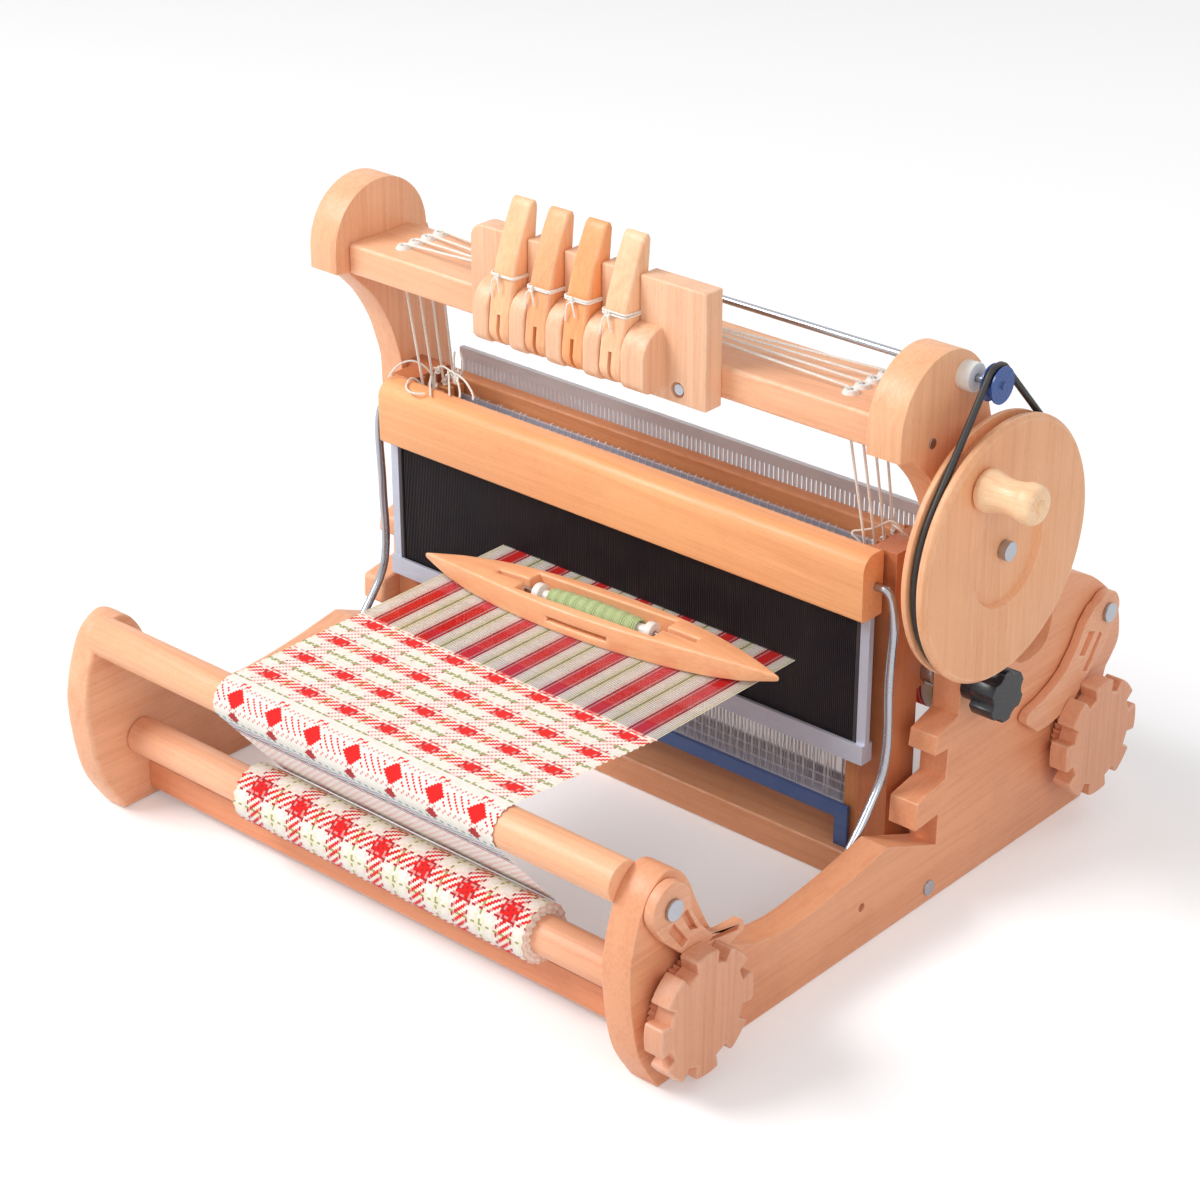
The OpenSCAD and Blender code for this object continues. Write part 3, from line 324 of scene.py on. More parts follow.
def beechMaterial(name, wood):
    material, tree, shader = newMaterial(name)
    place = addNode(tree, "ShaderNodeTexCoord").outputs["Object"]
    turn = [math.radians(angle) for angle in grainTurns[wood["grain"]]]
    turned = addNode(tree, "ShaderNodeMapping", {"Vector": place, "Location": wood["cut"], "Rotation": turn})
    # the marked bevel faces get a painted highlight and a little real wear
    wear = addNode(tree, "ShaderNodeAttribute", attribute_name="edgeWearAndHighlight").outputs["Fac"]
    grain = addNode(tree, "ShaderNodeGroup", node_tree=beechGrain)
    tree.links.new(turned.outputs[0], grain.inputs["Vector"])
    tree.links.new(wear, grain.inputs["Edge Wear And Highlight"])
    light = wood["light"]
    dark = wood.get("dark") or [light[0] * 0.90, light[1] * 0.80, light[2] * 0.74]
    grain.inputs["Light Tone"].default_value = tone(*light)
    grain.inputs["Dark Tone"].default_value = tone(*dark)
    grain.inputs["Ring Width"].default_value = wood.get("rings", 12) * mm
    grain.inputs["Dirt"].default_value = wood.get("dirt", 0.12)
    tree.links.new(grain.outputs["Color"], shader.inputs["Base Color"])
    tree.links.new(grain.outputs["Roughness"], shader.inputs["Roughness"])
    bump = addNode(tree, "ShaderNodeBump", {"Strength": 0.12, "Distance": 0.0004,
                                           "Height": grain.outputs["Height"]})
    tree.links.new(bump.outputs[0], shader.inputs["Normal"])
    shader.inputs["Specular IOR Level"].default_value = 0.42
    return material


def wornMaterial(name, look):
    material, tree, shader = newMaterial(name)
    place = addNode(tree, "ShaderNodeTexCoord").outputs["Object"]
    wear = addNode(tree, "ShaderNodeGroup", node_tree=fineWear)
    tree.links.new(place, wear.inputs["Vector"])
    wear.inputs["Base"].default_value = tone(*look["base"])
    wear.inputs["Marks"].default_value = tone(*look["marks"])
    wear.inputs["Amount"].default_value = look.get("amount", 0.3)
    wear.inputs["Low Roughness"].default_value = look["rough"][0]
    wear.inputs["High Roughness"].default_value = look["rough"][1]
    wear.inputs["Stretch"].default_value = look.get("stretch", (60, 900, 900))
    tree.links.new(wear.outputs["Color"], shader.inputs["Base Color"])
    tree.links.new(wear.outputs["Roughness"], shader.inputs["Roughness"])
    bump = addNode(tree, "ShaderNodeBump", {"Strength": look.get("bump", 0.05), "Distance": 0.0002,
                                           "Height": wear.outputs["Height"]})
    tree.links.new(bump.outputs[0], shader.inputs["Normal"])
    shader.inputs["Metallic"].default_value = look.get("metal", 0.0)
    if "coat" in look:
        shader.inputs["Coat Weight"].default_value = look["coat"]
        shader.inputs["Coat Roughness"].default_value = 0.1
    return material


brightSteel = wornMaterial("brightSteel", {"base": (178, 181, 188), "marks": (120, 119, 120), "metal": 1.0,
                                           "rough": (0.2, 0.4)})
dullZinc = wornMaterial("dullZinc", {"base": (196, 200, 214), "marks": (150, 154, 168), "metal": 0.35,
                                     "rough": (0.32, 0.55)})
reedSteel = wornMaterial("reedSteel", {"base": (52, 47, 52), "marks": (84, 70, 62), "amount": 0.5,
                                       "rough": (0.4, 0.6), "stretch": (900, 900, 30)})
heddleWire = wornMaterial("heddleWire", {"base": (232, 233, 236), "marks": (170, 172, 180), "metal": 0.35,
                                         "rough": (0.3, 0.5)})
guardPaint = wornMaterial("guardPaint", {"base": (72, 98, 150), "marks": (120, 132, 160), "metal": 0.3,
                                         "rough": (0.35, 0.55)})
whiteNylon = wornMaterial("whiteNylon", {"base": (240, 240, 236), "marks": (208, 205, 196), "amount": 0.4,
                                         "rough": (0.3, 0.5)})
combWhite = wornMaterial("combWhite", {"base": (226, 229, 236), "marks": (190, 194, 206), "amount": 0.4,
                                       "rough": (0.35, 0.55)})
knobBlack = wornMaterial("knobBlack", {"base": (30, 31, 36), "marks": (64, 64, 68), "rough": (0.25, 0.5)})
pulleyBlue = wornMaterial("pulleyBlue", {"base": (32, 74, 146), "marks": (80, 110, 160), "rough": (0.25, 0.45)})
beltRubber = wornMaterial("beltRubber", {"base": (34, 31, 30), "marks": (70, 64, 60), "rough": (0.45, 0.7),
                                         "amount": 0.6})
print("materials ready")


# Wooden pieces: the CAD shape, merged, with rounded edges and its own piece of beech
def mergedNode(nodeName):
    shape = bmesh.new()
    shape.from_mesh(frame["nodes"][nodeName].data)
    bmesh.ops.remove_doubles(shape, verts=shape.verts, dist=0.02 * mm)
    bmesh.ops.dissolve_limit(shape, angle_limit=math.radians(0.4), use_dissolve_boundaries=False,
                             verts=shape.verts, edges=shape.edges, delimit=set())
    return shape


def nearHole(point, holes):
    # a hole is (axis, first, second, radius): its axis letter and its place across that axis
    across = {"X": (1, 2), "Y": (0, 2), "Z": (0, 1)}
    for axis, first, second, radius in holes:
        one, two = across[axis]
        if math.hypot(point[one] / mm - first, point[two] / mm - second) < radius:
            return True
    return False


def roundEdges(shape, wood):
    # the bevel faces are marked: the shader paints them paler as a painted highlight and makes them smoother as real
    # wear
    wear = shape.faces.layers.float.new("edgeWearAndHighlight")
    chosen = []
    for edge in shape.edges:
        if not edge.is_convex or edge.calc_face_angle(0) < math.radians(wood.get("least", 30)):
            continue
        if nearHole((edge.verts[0].co + edge.verts[1].co) / 2, wood.get("holes", ())):
            continue
        if "only" in wood and not wood["only"]((edge.verts[0].co + edge.verts[1].co) / 2 / mm):
            continue
        chosen.append(edge)
    result = bmesh.ops.bevel(shape, geom=chosen, offset=wood["round"] * mm, offset_type="OFFSET",
                             segments=wood.get("segments", 3), profile=0.5, affect="EDGES",
                             clamp_overlap=True, material=-1)
    for face in result["faces"]:
        face[wear] = 1.0


def pieceName(nodeName):
    words = nodeName.split("_")
    return words[0] + "".join(word.capitalize() for word in words[1:]) + "Piece"


def dressWood(nodeName, wood):
    shape = mergedNode(nodeName)
    roundEdges(shape, wood)
    softenShading(shape, flatArea=wood.get("flatArea", 100) * mm * mm)
    piece = pieceFromMesh(pieceName(nodeName), shape)
    material = beechMaterial(nodeName + "Beech", wood)
    return keepPiece(piece, frame["nodes"][nodeName]["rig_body"], material, [nodeName])


frameHoles = [("X", -252.6, 52.7, 9.5), ("X", 170, 62, 9.5), ("X", -71, 31, 4.5), ("X", 36, 153, 5.5),
              ("X", 3, 11, 7)]
# the right frame is darker than the left one: partly its own wood, partly painted shade for the wheel's shadow on its
# outer face
rightFrame = {"grain": "Y", "light": (236, 166, 124), "cut": (0.1, 0.3, 0.7), "round": 3, "holes": frameHoles,
              "rings": 17, "dirt": 0.2}
leftFrame = {"grain": "Y", "light": (246, 186, 146), "cut": (0.6, 0.1, 0.2), "round": 3, "holes": frameHoles,
             "rings": 15, "dirt": 0.2}
dressWood("side_frame_right", rightFrame)
dressWood("side_frame_left", leftFrame)

headHoles = [("X", 11, 376.5, 5)]
rightPost = {"grain": "Z", "light": (247, 188, 144), "cut": (0.25, 0.5, 0.1), "round": 3, "holes": headHoles,
             "rings": 14}
leftPost = {"grain": "Z", "light": (249, 190, 148), "cut": (0.7, 0.2, 0.9), "round": 3, "rings": 16}
dressWood("castle_post_right", rightPost)
dressWood("castle_post_left", leftPost)

eyeletHoles = [("Z", side * 195, -20 + 12 * k, 4.5) for side in (-1, 1) for k in range(4)]
topBoard = {"grain": "X", "light": (249, 191, 150), "cut": (0.2, 0.8, 0.45), "round": 2.5,
            "holes": eyeletHoles, "rings": 20}
dressWood("castle_board", topBoard)
rearRail = {"grain": "X", "light": (236, 168, 118), "cut": (0.8, 0.35, 0.15), "round": 1.5, "rings": 9}
dressWood("castle_rail", rearRail)

breastBeam = {"grain": "X", "light": (250, 190, 148), "cut": (0.4, 0.9, 0.3), "round": 0.8, "rings": 10,
              "least": 50}
backBeam = {"grain": "X", "light": (244, 182, 138), "cut": (0.1, 0.15, 0.55), "round": 0.8, "rings": 11,
            "least": 50}
clothBeam = {"grain": "X", "light": (248, 188, 150), "cut": (0.9, 0.4, 0.6), "round": 0.8, "rings": 8,
             "least": 50}
warpBeam = {"grain": "X", "light": (240, 178, 134), "cut": (0.35, 0.65, 0.05), "round": 0.8, "rings": 12,
            "least": 50}
dressWood("breast_beam", breastBeam)
dressWood("back_beam", backBeam)
dressWood("cloth_beam", clothBeam)
dressWood("warp_beam", warpBeam)

frontStretcher = {"grain": "X", "light": (240, 160, 116), "cut": (0.5, 0.05, 0.85), "round": 1.5, "rings": 13}
bottomStretcher = {"grain": "X", "light": (232, 168, 124), "cut": (0.15, 0.75, 0.5), "round": 1.5, "rings": 15}
dressWood("front_stretcher", frontStretcher)
dressWood("bottom_stretcher", bottomStretcher)

guideBoard = {"grain": "Z", "light": (196, 122, 80), "cut": (0.3, 0.25, 0.4), "round": 0.6, "rings": 7,
              "holes": [("X", 36, 153, 5.5)], "dirt": 0.35}
for side in ("left", "right"):
    dressWood("shaft_guide_" + side, dict(guideBoard, cut=(0.3, 0.25 if side == "left" else 0.6, 0.4)))

leverBlock = {"grain": "Z", "light": (247, 202, 166), "cut": (0.75, 0.55, 0.2), "round": 1.2, "rings": 11,
              "holes": [("X", -61.5, 348, 4.5), ("Y", 84.7, 338.4, 7)]}
dressWood("lever_block", leverBlock)
leverTones = [(252, 198, 152), (248, 184, 134), (250, 176, 118), (255, 206, 164)]
leverMiddles = [-54.2, -21.8, 10.6, 43]
for k in range(4):
    # the cord's cut and the pin's hole keep their sharp edges
    handLever = {"grain": "Z", "light": leverTones[k], "cut": (0.1 * k, 0.35 + 0.2 * k, 0.6), "round": 2.2,
                 "rings": 9, "holes": [("X", -61.5, 348, 4.5)],
                 "only": lambda point, middle=leverMiddles[k]: abs(point[0] - middle) > 3}
    dressWood("lever_%d" % (k + 1), handLever)

shaftWood = {"grain": "Z", "light": (214, 146, 92), "cut": (0.2, 0.4, 0.9), "round": 0.6, "rings": 8,
             "dirt": 0.3}
for k in range(4):
    dressWood("shaft_sides_%d" % (k + 1), dict(shaftWood, cut=(0.2, 0.4 + 0.13 * k, 0.9)))

beaterCap = {"grain": "X", "light": (251, 184, 128), "cut": (0.6, 0.3, 0.25), "round": 1.4, "rings": 24}
dressWood("beater_cap", beaterCap)

# the toothed ratchet behind each star keeps its sharp teeth
starWheel = {"grain": "Z", "light": (228, 166, 132), "cut": (0.45, 0.1, 0.65), "round": 1.6, "rings": 10,
             "only": lambda point: point[0] > 266.2, "flatArea": 60}
dressWood("cloth_handwheel", starWheel)
dressWood("warp_handwheel", dict(starWheel, cut=(0.15, 0.8, 0.35), light=(232, 170, 134)))
pawlWood = {"grain": "Y", "light": (238, 174, 136), "cut": (0.55, 0.7, 0.15), "round": 1.1, "rings": 9}
dressWood("cloth_pawl", dict(pawlWood, holes=[("X", -270, 130, 4.2)]))
dressWood("warp_pawl", dict(pawlWood, cut=(0.25, 0.2, 0.5), holes=[("X", 188, 148, 4.2)]))

driveWheel = {"grain": "Z", "light": (240, 178, 132), "cut": (0.35, 0.45, 0.75), "round": 0.8, "rings": 21,
              "holes": [("X", 18, 265.3, 7), ("X", -14, 319.3, 5.5)], "least": 40}
dressWood("drive_wheel", driveWheel)
crankHandle = {"grain": "X", "light": (252, 214, 172), "cut": (0.65, 0.6, 0.1), "round": 0.8, "rings": 8,
               "least": 40}
dressWood("crank_handle", crankHandle)
shuttleWood = {"grain": "X", "light": (253, 190, 142), "cut": (0.05, 0.9, 0.7), "round": 1.4, "rings": 11,
               "segments": 3}
dressWood("shuttle_body", shuttleWood)
print("wooden pieces dressed")


# Metal and plastic nodes whose shape is right: a merged copy with soft shading
def dressPlain(nodeName, material, rounding=0.0, holes=(), least=40):
    shape = mergedNode(nodeName)
    if rounding:
        roundEdges(shape, {"round": rounding, "segments": 2, "holes": holes, "least": least})
    softenShading(shape, flatArea=12 * mm * mm)
    piece = pieceFromMesh(pieceName(nodeName), shape)
    return keepPiece(piece, frame["nodes"][nodeName]["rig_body"], material, [nodeName])


dressPlain("fasteners", brightSteel, 0.35)
dressPlain("lever_pin", brightSteel, 0.3)
dressPlain("beater_frame", dullZinc, 0.4)
dressPlain("shaft_guard", guardPaint, 0.4)
dressPlain("cord_eyelets", whiteNylon)
dressPlain("raddle", combWhite)
dressPlain("winder_bearings", whiteNylon, 0.6)
dressPlain("shuttle_pin", brightSteel, 0.3)
dressPlain("bobbin", whiteNylon, 1.2, [("X", 0, 0, 0)])
dressPlain("clamp_knob", knobBlack, 1.6)
for k in range(4):
    dressPlain("heddle_bars_%d" % (k + 1), dullZinc, 0.3)


# Winder spindle: blue pulley on a steel rod
def dressSpindle():
    shape = mergedNode("winder_spindle")
    softenShading(shape)
    piece = pieceFromMesh("winderSpindlePiece", shape)
    keepPiece(piece, "winder_spindle", pulleyBlue, ["winder_spindle"])
    piece.data.materials.append(brightSteel)
    for face in piece.data.polygons:
        middle = face.center / mm
        fromAxis = math.hypot(middle.y - 11, middle.z - 376.5)
        if fromAxis < 4 and abs(face.normal.x) < 0.9 or middle.x < 276:
            face.material_index = 1


dressSpindle()
print("metal and plastic pieces dressed")


# Cotton: every thread's colour is kept on the mesh, fuzz and unevenness come from the group
def buildCottonFuzz():
    group, given, result = startGroup("cottonFuzz", [
        ("Vector", "Vector", (0, 0, 0)), ("Thread", "Color", (0.8, 0.8, 0.8, 1)), ("Shade", "Float", 0.25),
        ("Fineness", "Float", 1400.0)],
        [("Color", "Color"), ("Roughness", "Float"), ("Height", "Float")])
    fine = addNode(group, "ShaderNodeTexNoise", {"Vector": given["Vector"], "Scale": given["Fineness"],
                                                "Detail": 2.0}).outputs["Fac"]
    slub = speckle(group, stretched(group, given["Vector"], (1, 1, 1)), 160.0, 2.0)
    age = speckle(group, given["Vector"], 14.0, 3.0)
    dark = math2(group, "MULTIPLY", spread(group, fine, 0.35, 0.75), given["Shade"])
    dark = math2(group, "ADD", dark, spread(group, slub, 0.5, 0.8, 0.0, 0.14), True)
    shaded = mixTones(group, dark, given["Thread"], (0.52, 0.45, 0.42, 1), "MULTIPLY")
    warm = mixTones(group, spread(group, age, 0.45, 0.75, 0.0, 0.12), shaded, (1, 0.9, 0.78, 1), "MULTIPLY")
    group.links.new(warm, result["Color"])
    group.links.new(spread(group, fine, 0.2, 0.8, 0.75, 0.95), result["Roughness"])
    group.links.new(fine, result["Height"])
    return group


cottonFuzz = buildCottonFuzz()


def cottonMaterial(name, yarn):
    material, tree, shader = newMaterial(name)
    place = addNode(tree, "ShaderNodeTexCoord").outputs["Object"]
    fuzz = addNode(tree, "ShaderNodeGroup", node_tree=cottonFuzz)
    tree.links.new(place, fuzz.inputs["Vector"])
    if "colour" in yarn:
        fuzz.inputs["Thread"].default_value = tone(*yarn["colour"])
    else:
        thread = addNode(tree, "ShaderNodeAttribute", attribute_name="threadColour").outputs["Color"]
        tree.links.new(thread, fuzz.inputs["Thread"])
    fuzz.inputs["Shade"].default_value = yarn.get("shade", 0.25)
    fuzz.inputs["Fineness"].default_value = yarn.get("fineness", 1400)
    tree.links.new(fuzz.outputs["Color"], shader.inputs["Base Color"])
    tree.links.new(fuzz.outputs["Roughness"], shader.inputs["Roughness"])
    bump = addNode(tree, "ShaderNodeBump", {"Strength": 0.35, "Distance": 0.0002,
                                           "Height": fuzz.outputs["Height"]})
    tree.links.new(bump.outputs[0], shader.inputs["Normal"])
    shader.inputs["Specular IOR Level"].default_value = 0.2
    shader.inputs["Sheen Weight"].default_value = 0.15
    shader.inputs["Sheen Roughness"].default_value = 0.5
    return material


webCotton = cottonMaterial("webCotton", {"shade": 0.2})
warpCotton = cottonMaterial("warpCotton", {"shade": 0.15})
cordCotton = cottonMaterial("cordCotton", {"colour": (246, 243, 236), "shade": 0.35, "fineness": 900})
greenYarn = cottonMaterial("greenYarn", {"colour": (196, 216, 162), "shade": 0.3, "fineness": 1100})
redYarn = cottonMaterial("redYarn", {"colour": (206, 32, 44), "shade": 0.3})

# The plaid: one letter for each thread of the warp's and the weft's repeat
plaid = {"left": -107, "rightAtFell": 157, "rightAtBeam": 143, "threads": 167, "fell": -157, "height": 154.5,
         "warp": "RRRRRkDbcccyygyyccccbbDk", "warpStart": 14, "weft": "RRRRRPcccccggcccccPc", "weftStart": 17,
         "weftPitch": 1.55, "relief": 0.2}
# t, l and v are not yarns of the plaid: teal and lavender are painted shade on the cream cloth of the web's underside,
# and v is a red stripe darkened by painted shade
yarnTones = {"R": tone(238, 34, 32), "P": tone(240, 150, 140), "c": tone(250, 245, 236),
             "b": tone(250, 228, 220), "g": tone(168, 172, 112), "D": tone(186, 40, 44), "y": tone(244, 238, 212),
             "t": tone(140, 188, 190), "l": tone(196, 186, 210), "v": tone(104, 58, 92),
             "w": tone(253, 251, 246), "k": tone(226, 150, 148), "G": tone(188, 204, 160)}
threadPitch = (plaid["rightAtFell"] - plaid["left"]) / plaid["threads"]


def warpLetter(column):
    return plaid["warp"][(column + plaid["warpStart"]) % len(plaid["warp"])]


def fromRedStripe(column):
    # threads between this one and the middle of the nearest red stripe
    repeat = len(plaid["warp"])
    return (column + plaid["warpStart"] - 2 + repeat // 2) % repeat - repeat // 2


def webCrossing(column, row):
    # which yarn lies on top, and whether it is the warp
    warp = warpLetter(column)
    across = fromRedStripe(column)
    twill = (column + row) % 4
    if row < 75:
        weft = plaid["weft"][(row + plaid["weftStart"]) % len(plaid["weft"])]
        if weft == "R" or weft == "P":
            return (warp, True) if twill < 2 else (weft, False)
        if warp == "R":
            return ("k", True) if twill == 0 else ("c" if weft == "c" else "b", False)
        return (warp, True) if twill == 0 else (weft, False)
    below = row - 75
    if below < 3:
        return ("c", False)
    if below < 5:
        return ("R", True) if abs(across) <= 2 and twill < 2 else ("c", False)
    if below < 7:
        return ("k", True) if (column + below) % 3 == 0 else ("c", False)
    if below < 16:
        rise = below - 11
        star = abs(across) + abs(rise) <= 5 or (abs(across) <= 3 and abs(rise) <= 3)
        if star and not (abs(across) == abs(rise) and abs(rise) == 3):
            return ("R", (column + row) % 2 == 0)
        slant = (across - rise) % 4
        if abs(rise) <= 3 and abs(across) > 5:
            return ("R", True) if slant == 0 else ("c", False)
        return ("c", False)
    if below < 18:
        return ("k", True) if (column + below) % 3 == 0 else ("c", False)
    if below < 23:
        return ("D", True) if abs(across) <= 3 - abs(below - 20) else ("c", False)
    # under the breast beam the web's underside carries painted shade: teal (t) and lavender (l) on the cream cloth,
    # violet (v) for red weft stripes in shade
    if below < 25:
        return ("t", False) if column % 4 < 2 else ("c", False)
    if below < 27:
        return ("w", False)
    if below < 36:
        slant = (column + row * 2) % 6
        return (("l", True) if slant < 2 else (("t", False) if slant < 4 else ("b", False)))
    if below < 38:
        return ("v", False) if column % 8 else ("l", True)
    if below < 40:
        return ("b", twill < 2)
    if below < 41:
        return ("v", False)
    return (("b", True) if twill < 2 else ("w", False))


def rollCrossing(column, row):
    warp = warpLetter(column)
    weft = plaid["warp"][(row + 6) % len(plaid["warp"])]
    deep = {"R": "D" if (column * 3 + row) % 5 == 0 else "R"}
    if (column + row) % 4 < 2:
        return (deep.get(warp, warp), True)
    return (deep.get(weft, weft), False)


def woundCrossing(column, row):
    return (warpLetter(column), True)


def paintLoops(shape, tones):
    # tones gives each face its thread's colour
    layer = shape.loops.layers.float_color.new("threadColour")
    for face in shape.faces:
        colour = tones(face)
        for loop in face.loops:
            loop[layer] = colour


def weaveCloth(name, columns, rows, place, crossing, relief):
    # two squares each way for a crossing of threads, raised along the thread on top
    shape = bmesh.new()
    bmesh.ops.create_grid(shape, x_segments=2 * columns, y_segments=2 * rows, size=1)
    table = [[crossing(column, row) for row in range(rows)] for column in range(columns)]
    cell = shape.faces.layers.int.new("cell")

    def onTop(column, row):
        return table[min(max(column, 0), columns - 1)][min(max(row, 0), rows - 1)][1]

    for face in shape.faces:
        middle = face.calc_center_median()
        column = int((middle.x + 1) * columns / 2)
        row = int((middle.y + 1) * rows / 2)
        face[cell] = column * rows + row
        face.smooth = True
    for vert in shape.verts:
        u = round((vert.co.x + 1) * columns)
        v = round((vert.co.y + 1) * rows)
        column = u // 2
        row = v // 2
        if u % 2 and v % 2:
            rise = 1.0
        elif u % 2:
            rise = (onTop(column, row - 1) + onTop(column, row)) - 1.0
        elif v % 2:
            rise = 1.0 - (onTop(column - 1, row) + onTop(column, row))
        else:
            rise = -1.0
        point, normal = place(u / 2, v / 2)
        vert.co = (point + normal * rise * relief) * mm
    paintLoops(shape, lambda face: yarnTones[table[face[cell] // rows][face[cell] % rows][0]])
    shape.faces.layers.int.remove(cell)
    bmesh.ops.recalc_face_normals(shape, faces=shape.faces)
    return pieceFromMesh(name, shape)


# The web runs from the fell over the breast beam and back to the cloth roll
webPath = {"beam": (-278, 139.7), "wrap": 14.8, "leave": 219.9, "roll": (-252.6, 52.7), "rollRadius": 21.5}


def webPlace(along):
    # distance from the fell to a place and its outward direction, front to back and up
    flat = plaid["fell"] - webPath["beam"][0]
    bend = math.radians(webPath["leave"] - 90) * webPath["wrap"]
    if along <= flat:
        return (plaid["fell"] - along, plaid["height"]), (0.0, 1.0)
    angle = math.radians(90) + min(along - flat, bend) / webPath["wrap"]
    out = (math.cos(angle), math.sin(angle))
    past = max(0.0, along - flat - bend)
    place = (webPath["beam"][0] + webPath["wrap"] * out[0] - past * out[1],
             webPath["beam"][1] + webPath["wrap"] * out[1] + past * out[0])
    return place, out


def webPoint(column, row):
    along = row * plaid["weftPitch"]
    (y, z), (outY, outZ) = webPlace(along)
    share = column / plaid["threads"]
    flat = min(1.0, along / 117)
    right = plaid["rightAtFell"] + (plaid["rightAtBeam"] - plaid["rightAtFell"]) * flat
    x = plaid["left"] + (right - plaid["left"]) * share
    edge = max(0.0, 1 - min(share, 1 - share) * 60)
    x += edge * 0.5 * math.sin(row * 1.9) + 0.25 * math.sin(row * 0.31 + column * 0.05)
    y += 0.25 * math.sin(column * 0.11) * min(1.0, max(0.0, (117 - along) / 117))
    swell = 0.25 * noise.noise(Vector((x * 0.03, along * 0.03, 3.1)))
    return Vector((x, y, z)) + Vector((0, outY, outZ)) * swell, Vector((0, outY, outZ))


web = weaveCloth("startedWeb", plaid["threads"], 100, webPoint, webCrossing, plaid["relief"])
keepPiece(web, "frame", webCotton, ["cloth_web"])


def webTailPoint(column, row):
    return webPoint(column, 100 + row)


# the tail's colours hold the painted shade of the web's underside
webTail = weaveCloth("webTail", plaid["threads"], 53, webTailPoint,
                     lambda column, row: webCrossing(column, 100 + row), plaid["relief"] * 0.7)
keepPiece(webTail, "frame", webCotton)


# Web wound on the cloth beam, and warp wound on the warp beam
def woundCloth(name, roll, crossing):
    columns = round((roll["right"] - roll["left"]) / threadPitch)

    def rollPoint(column, row):
        angle = math.radians(roll["start"]) + 2 * math.pi * row / roll["rows"]
        out = Vector((0, math.cos(angle), math.sin(angle)))
        x = roll["left"] + (roll["right"] - roll["left"]) * column / columns
        sag = 0.25 * noise.noise(Vector((x * 0.02, angle * 0.8, 7.7)))
        share = min(column, columns - column) / 6
        x += max(0.0, 1 - share) * 0.8 * math.sin(row * 1.3)
        point = Vector((x, roll["axis"][0], roll["axis"][1])) + out * (roll["radius"] + sag)
        return point, out

    cloth = weaveCloth(name, columns, roll["rows"], rollPoint, crossing, roll["relief"])
    shape = bmesh.new()
    shape.from_mesh(cloth.data)
    bmesh.ops.remove_doubles(shape, verts=shape.verts, dist=0.05 * mm)
    layer = shape.loops.layers.float_color["threadColour"]
    # the open ends are closed by layers seen edge on, down to the beam
    for turn in range(4):
        ends = [edge for edge in shape.edges if edge.is_boundary]
        grown = bmesh.ops.extrude_edge_only(shape, edges=ends)["geom"]
        inner = [part for part in grown if isinstance(part, bmesh.types.BMVert)]
        walls = [part for part in grown if isinstance(part, bmesh.types.BMFace)]
        depth = roll["radius"] - (turn + 1) * (roll["radius"] - roll["core"]) / 4
        for vert in inner:
            y = vert.co.y / mm - roll["axis"][0]
            z = vert.co.z / mm - roll["axis"][1]
            size = math.hypot(y, z)
            vert.co.y = (roll["axis"][0] + y / size * depth) * mm
            vert.co.z = (roll["axis"][1] + z / size * depth) * mm
            vert.co.x += (0.5 if turn % 2 else -0.5) * mm * (1 if vert.co.x > 0 else -1)
        for wall in walls:
            wall.smooth = False
            for loop in wall.loops:
                loop[layer] = yarnTones["c" if turn % 2 else "b"]
    bmesh.ops.recalc_face_normals(shape, faces=shape.faces)
    shape.to_mesh(cloth.data)
    shape.free()
    return cloth


clothRollLook = {"left": -117, "right": 147, "axis": (-252.6, 52.7), "radius": 20.3, "core": 13.4, "rows": 83,
                 "start": 40, "relief": 0.2}
warpRollLook = {"left": -111, "right": 161, "axis": (170, 62), "radius": 23.7, "core": 13.4, "rows": 44,
                "start": 30, "relief": 0.28}
clothRoll = woundCloth("clothRollPiece", clothRollLook, rollCrossing)
keepPiece(clothRoll, "cloth_roller", webCotton, ["cloth_roll"])
warpRoll = woundCloth("warpRollPiece", warpRollLook, woundCrossing)
keepPiece(warpRoll, "warp_roller", warpCotton, ["warp_roll"])
print("web woven")


# Warp threads between the fell, the heddles and the back beam, by shaft
backPath = {"beam": (180, 139.9), "wrap": 14.6, "leave": 37.43, "end": (150.3, 77.1)}
shaftY = [-1 + 10 * k for k in range(4)]


def threadX(column):
    return plaid["left"] + (column + 0.5) * threadPitch


def paintThreads(piece):
    layer = piece.data.color_attributes.new("threadColour", "FLOAT_COLOR", "CORNER")
    for face in piece.data.polygons:
        column = int((face.center.x / mm - plaid["left"]) / threadPitch)
        colour = yarnTones[warpLetter(min(max(column, 0), plaid["threads"] - 1))]
        for index in face.loop_indices:
            layer.data[index].color = colour


def stringWarp():
    height = plaid["height"]
    for k in range(4):
        columns = range(k, plaid["threads"], 4)
        front = [-158.5, -120, -80, -50, -42, -34, -26, -18, -10, -4, shaftY[k]]
        front = sorted(set(y for y in front if y <= shaftY[k]))
        fan = [shaftY[k]] + [shaftY[k] + (150 - shaftY[k]) * step / 8 for step in range(1, 9)]
        over = [(y, height) for y in fan]
        for step in range(15):
            angle = math.radians(90 - (90 + backPath["leave"]) * step / 14)
            over.append((backPath["beam"][0] + backPath["wrap"] * math.cos(angle),
                         backPath["beam"][1] + backPath["wrap"] * math.sin(angle)))
        over.append(backPath["end"])
        shed = [[(threadX(column), y, height) for y in front] for column in columns]
        rear = [[(threadX(column), y, z) for y, z in over] for column in columns]
        for label, routes, fixed in (("warpFront%d", shed, -48), ("warpBack%d", rear, 149)):
            piece = strandMesh(label % (k + 1), routes, 0.5, 4)
            paintThreads(piece)
            piece.data.materials.clear()
            piece.data.materials.append(warpCotton)
            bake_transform(piece)
            if label == "warpFront%d" and k == 0:
                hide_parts("warp_threads")


stringWarp()
print("warp strung")


# Wire heddles: two wires that part round the bars and for the eye
heddle = {"wire": 0.28, "top": 234.6, "bottom": 39.6, "eye": 154.5,
          "spare": {-1: (-111, -181, 9), 1: (162, 184, 3)}}


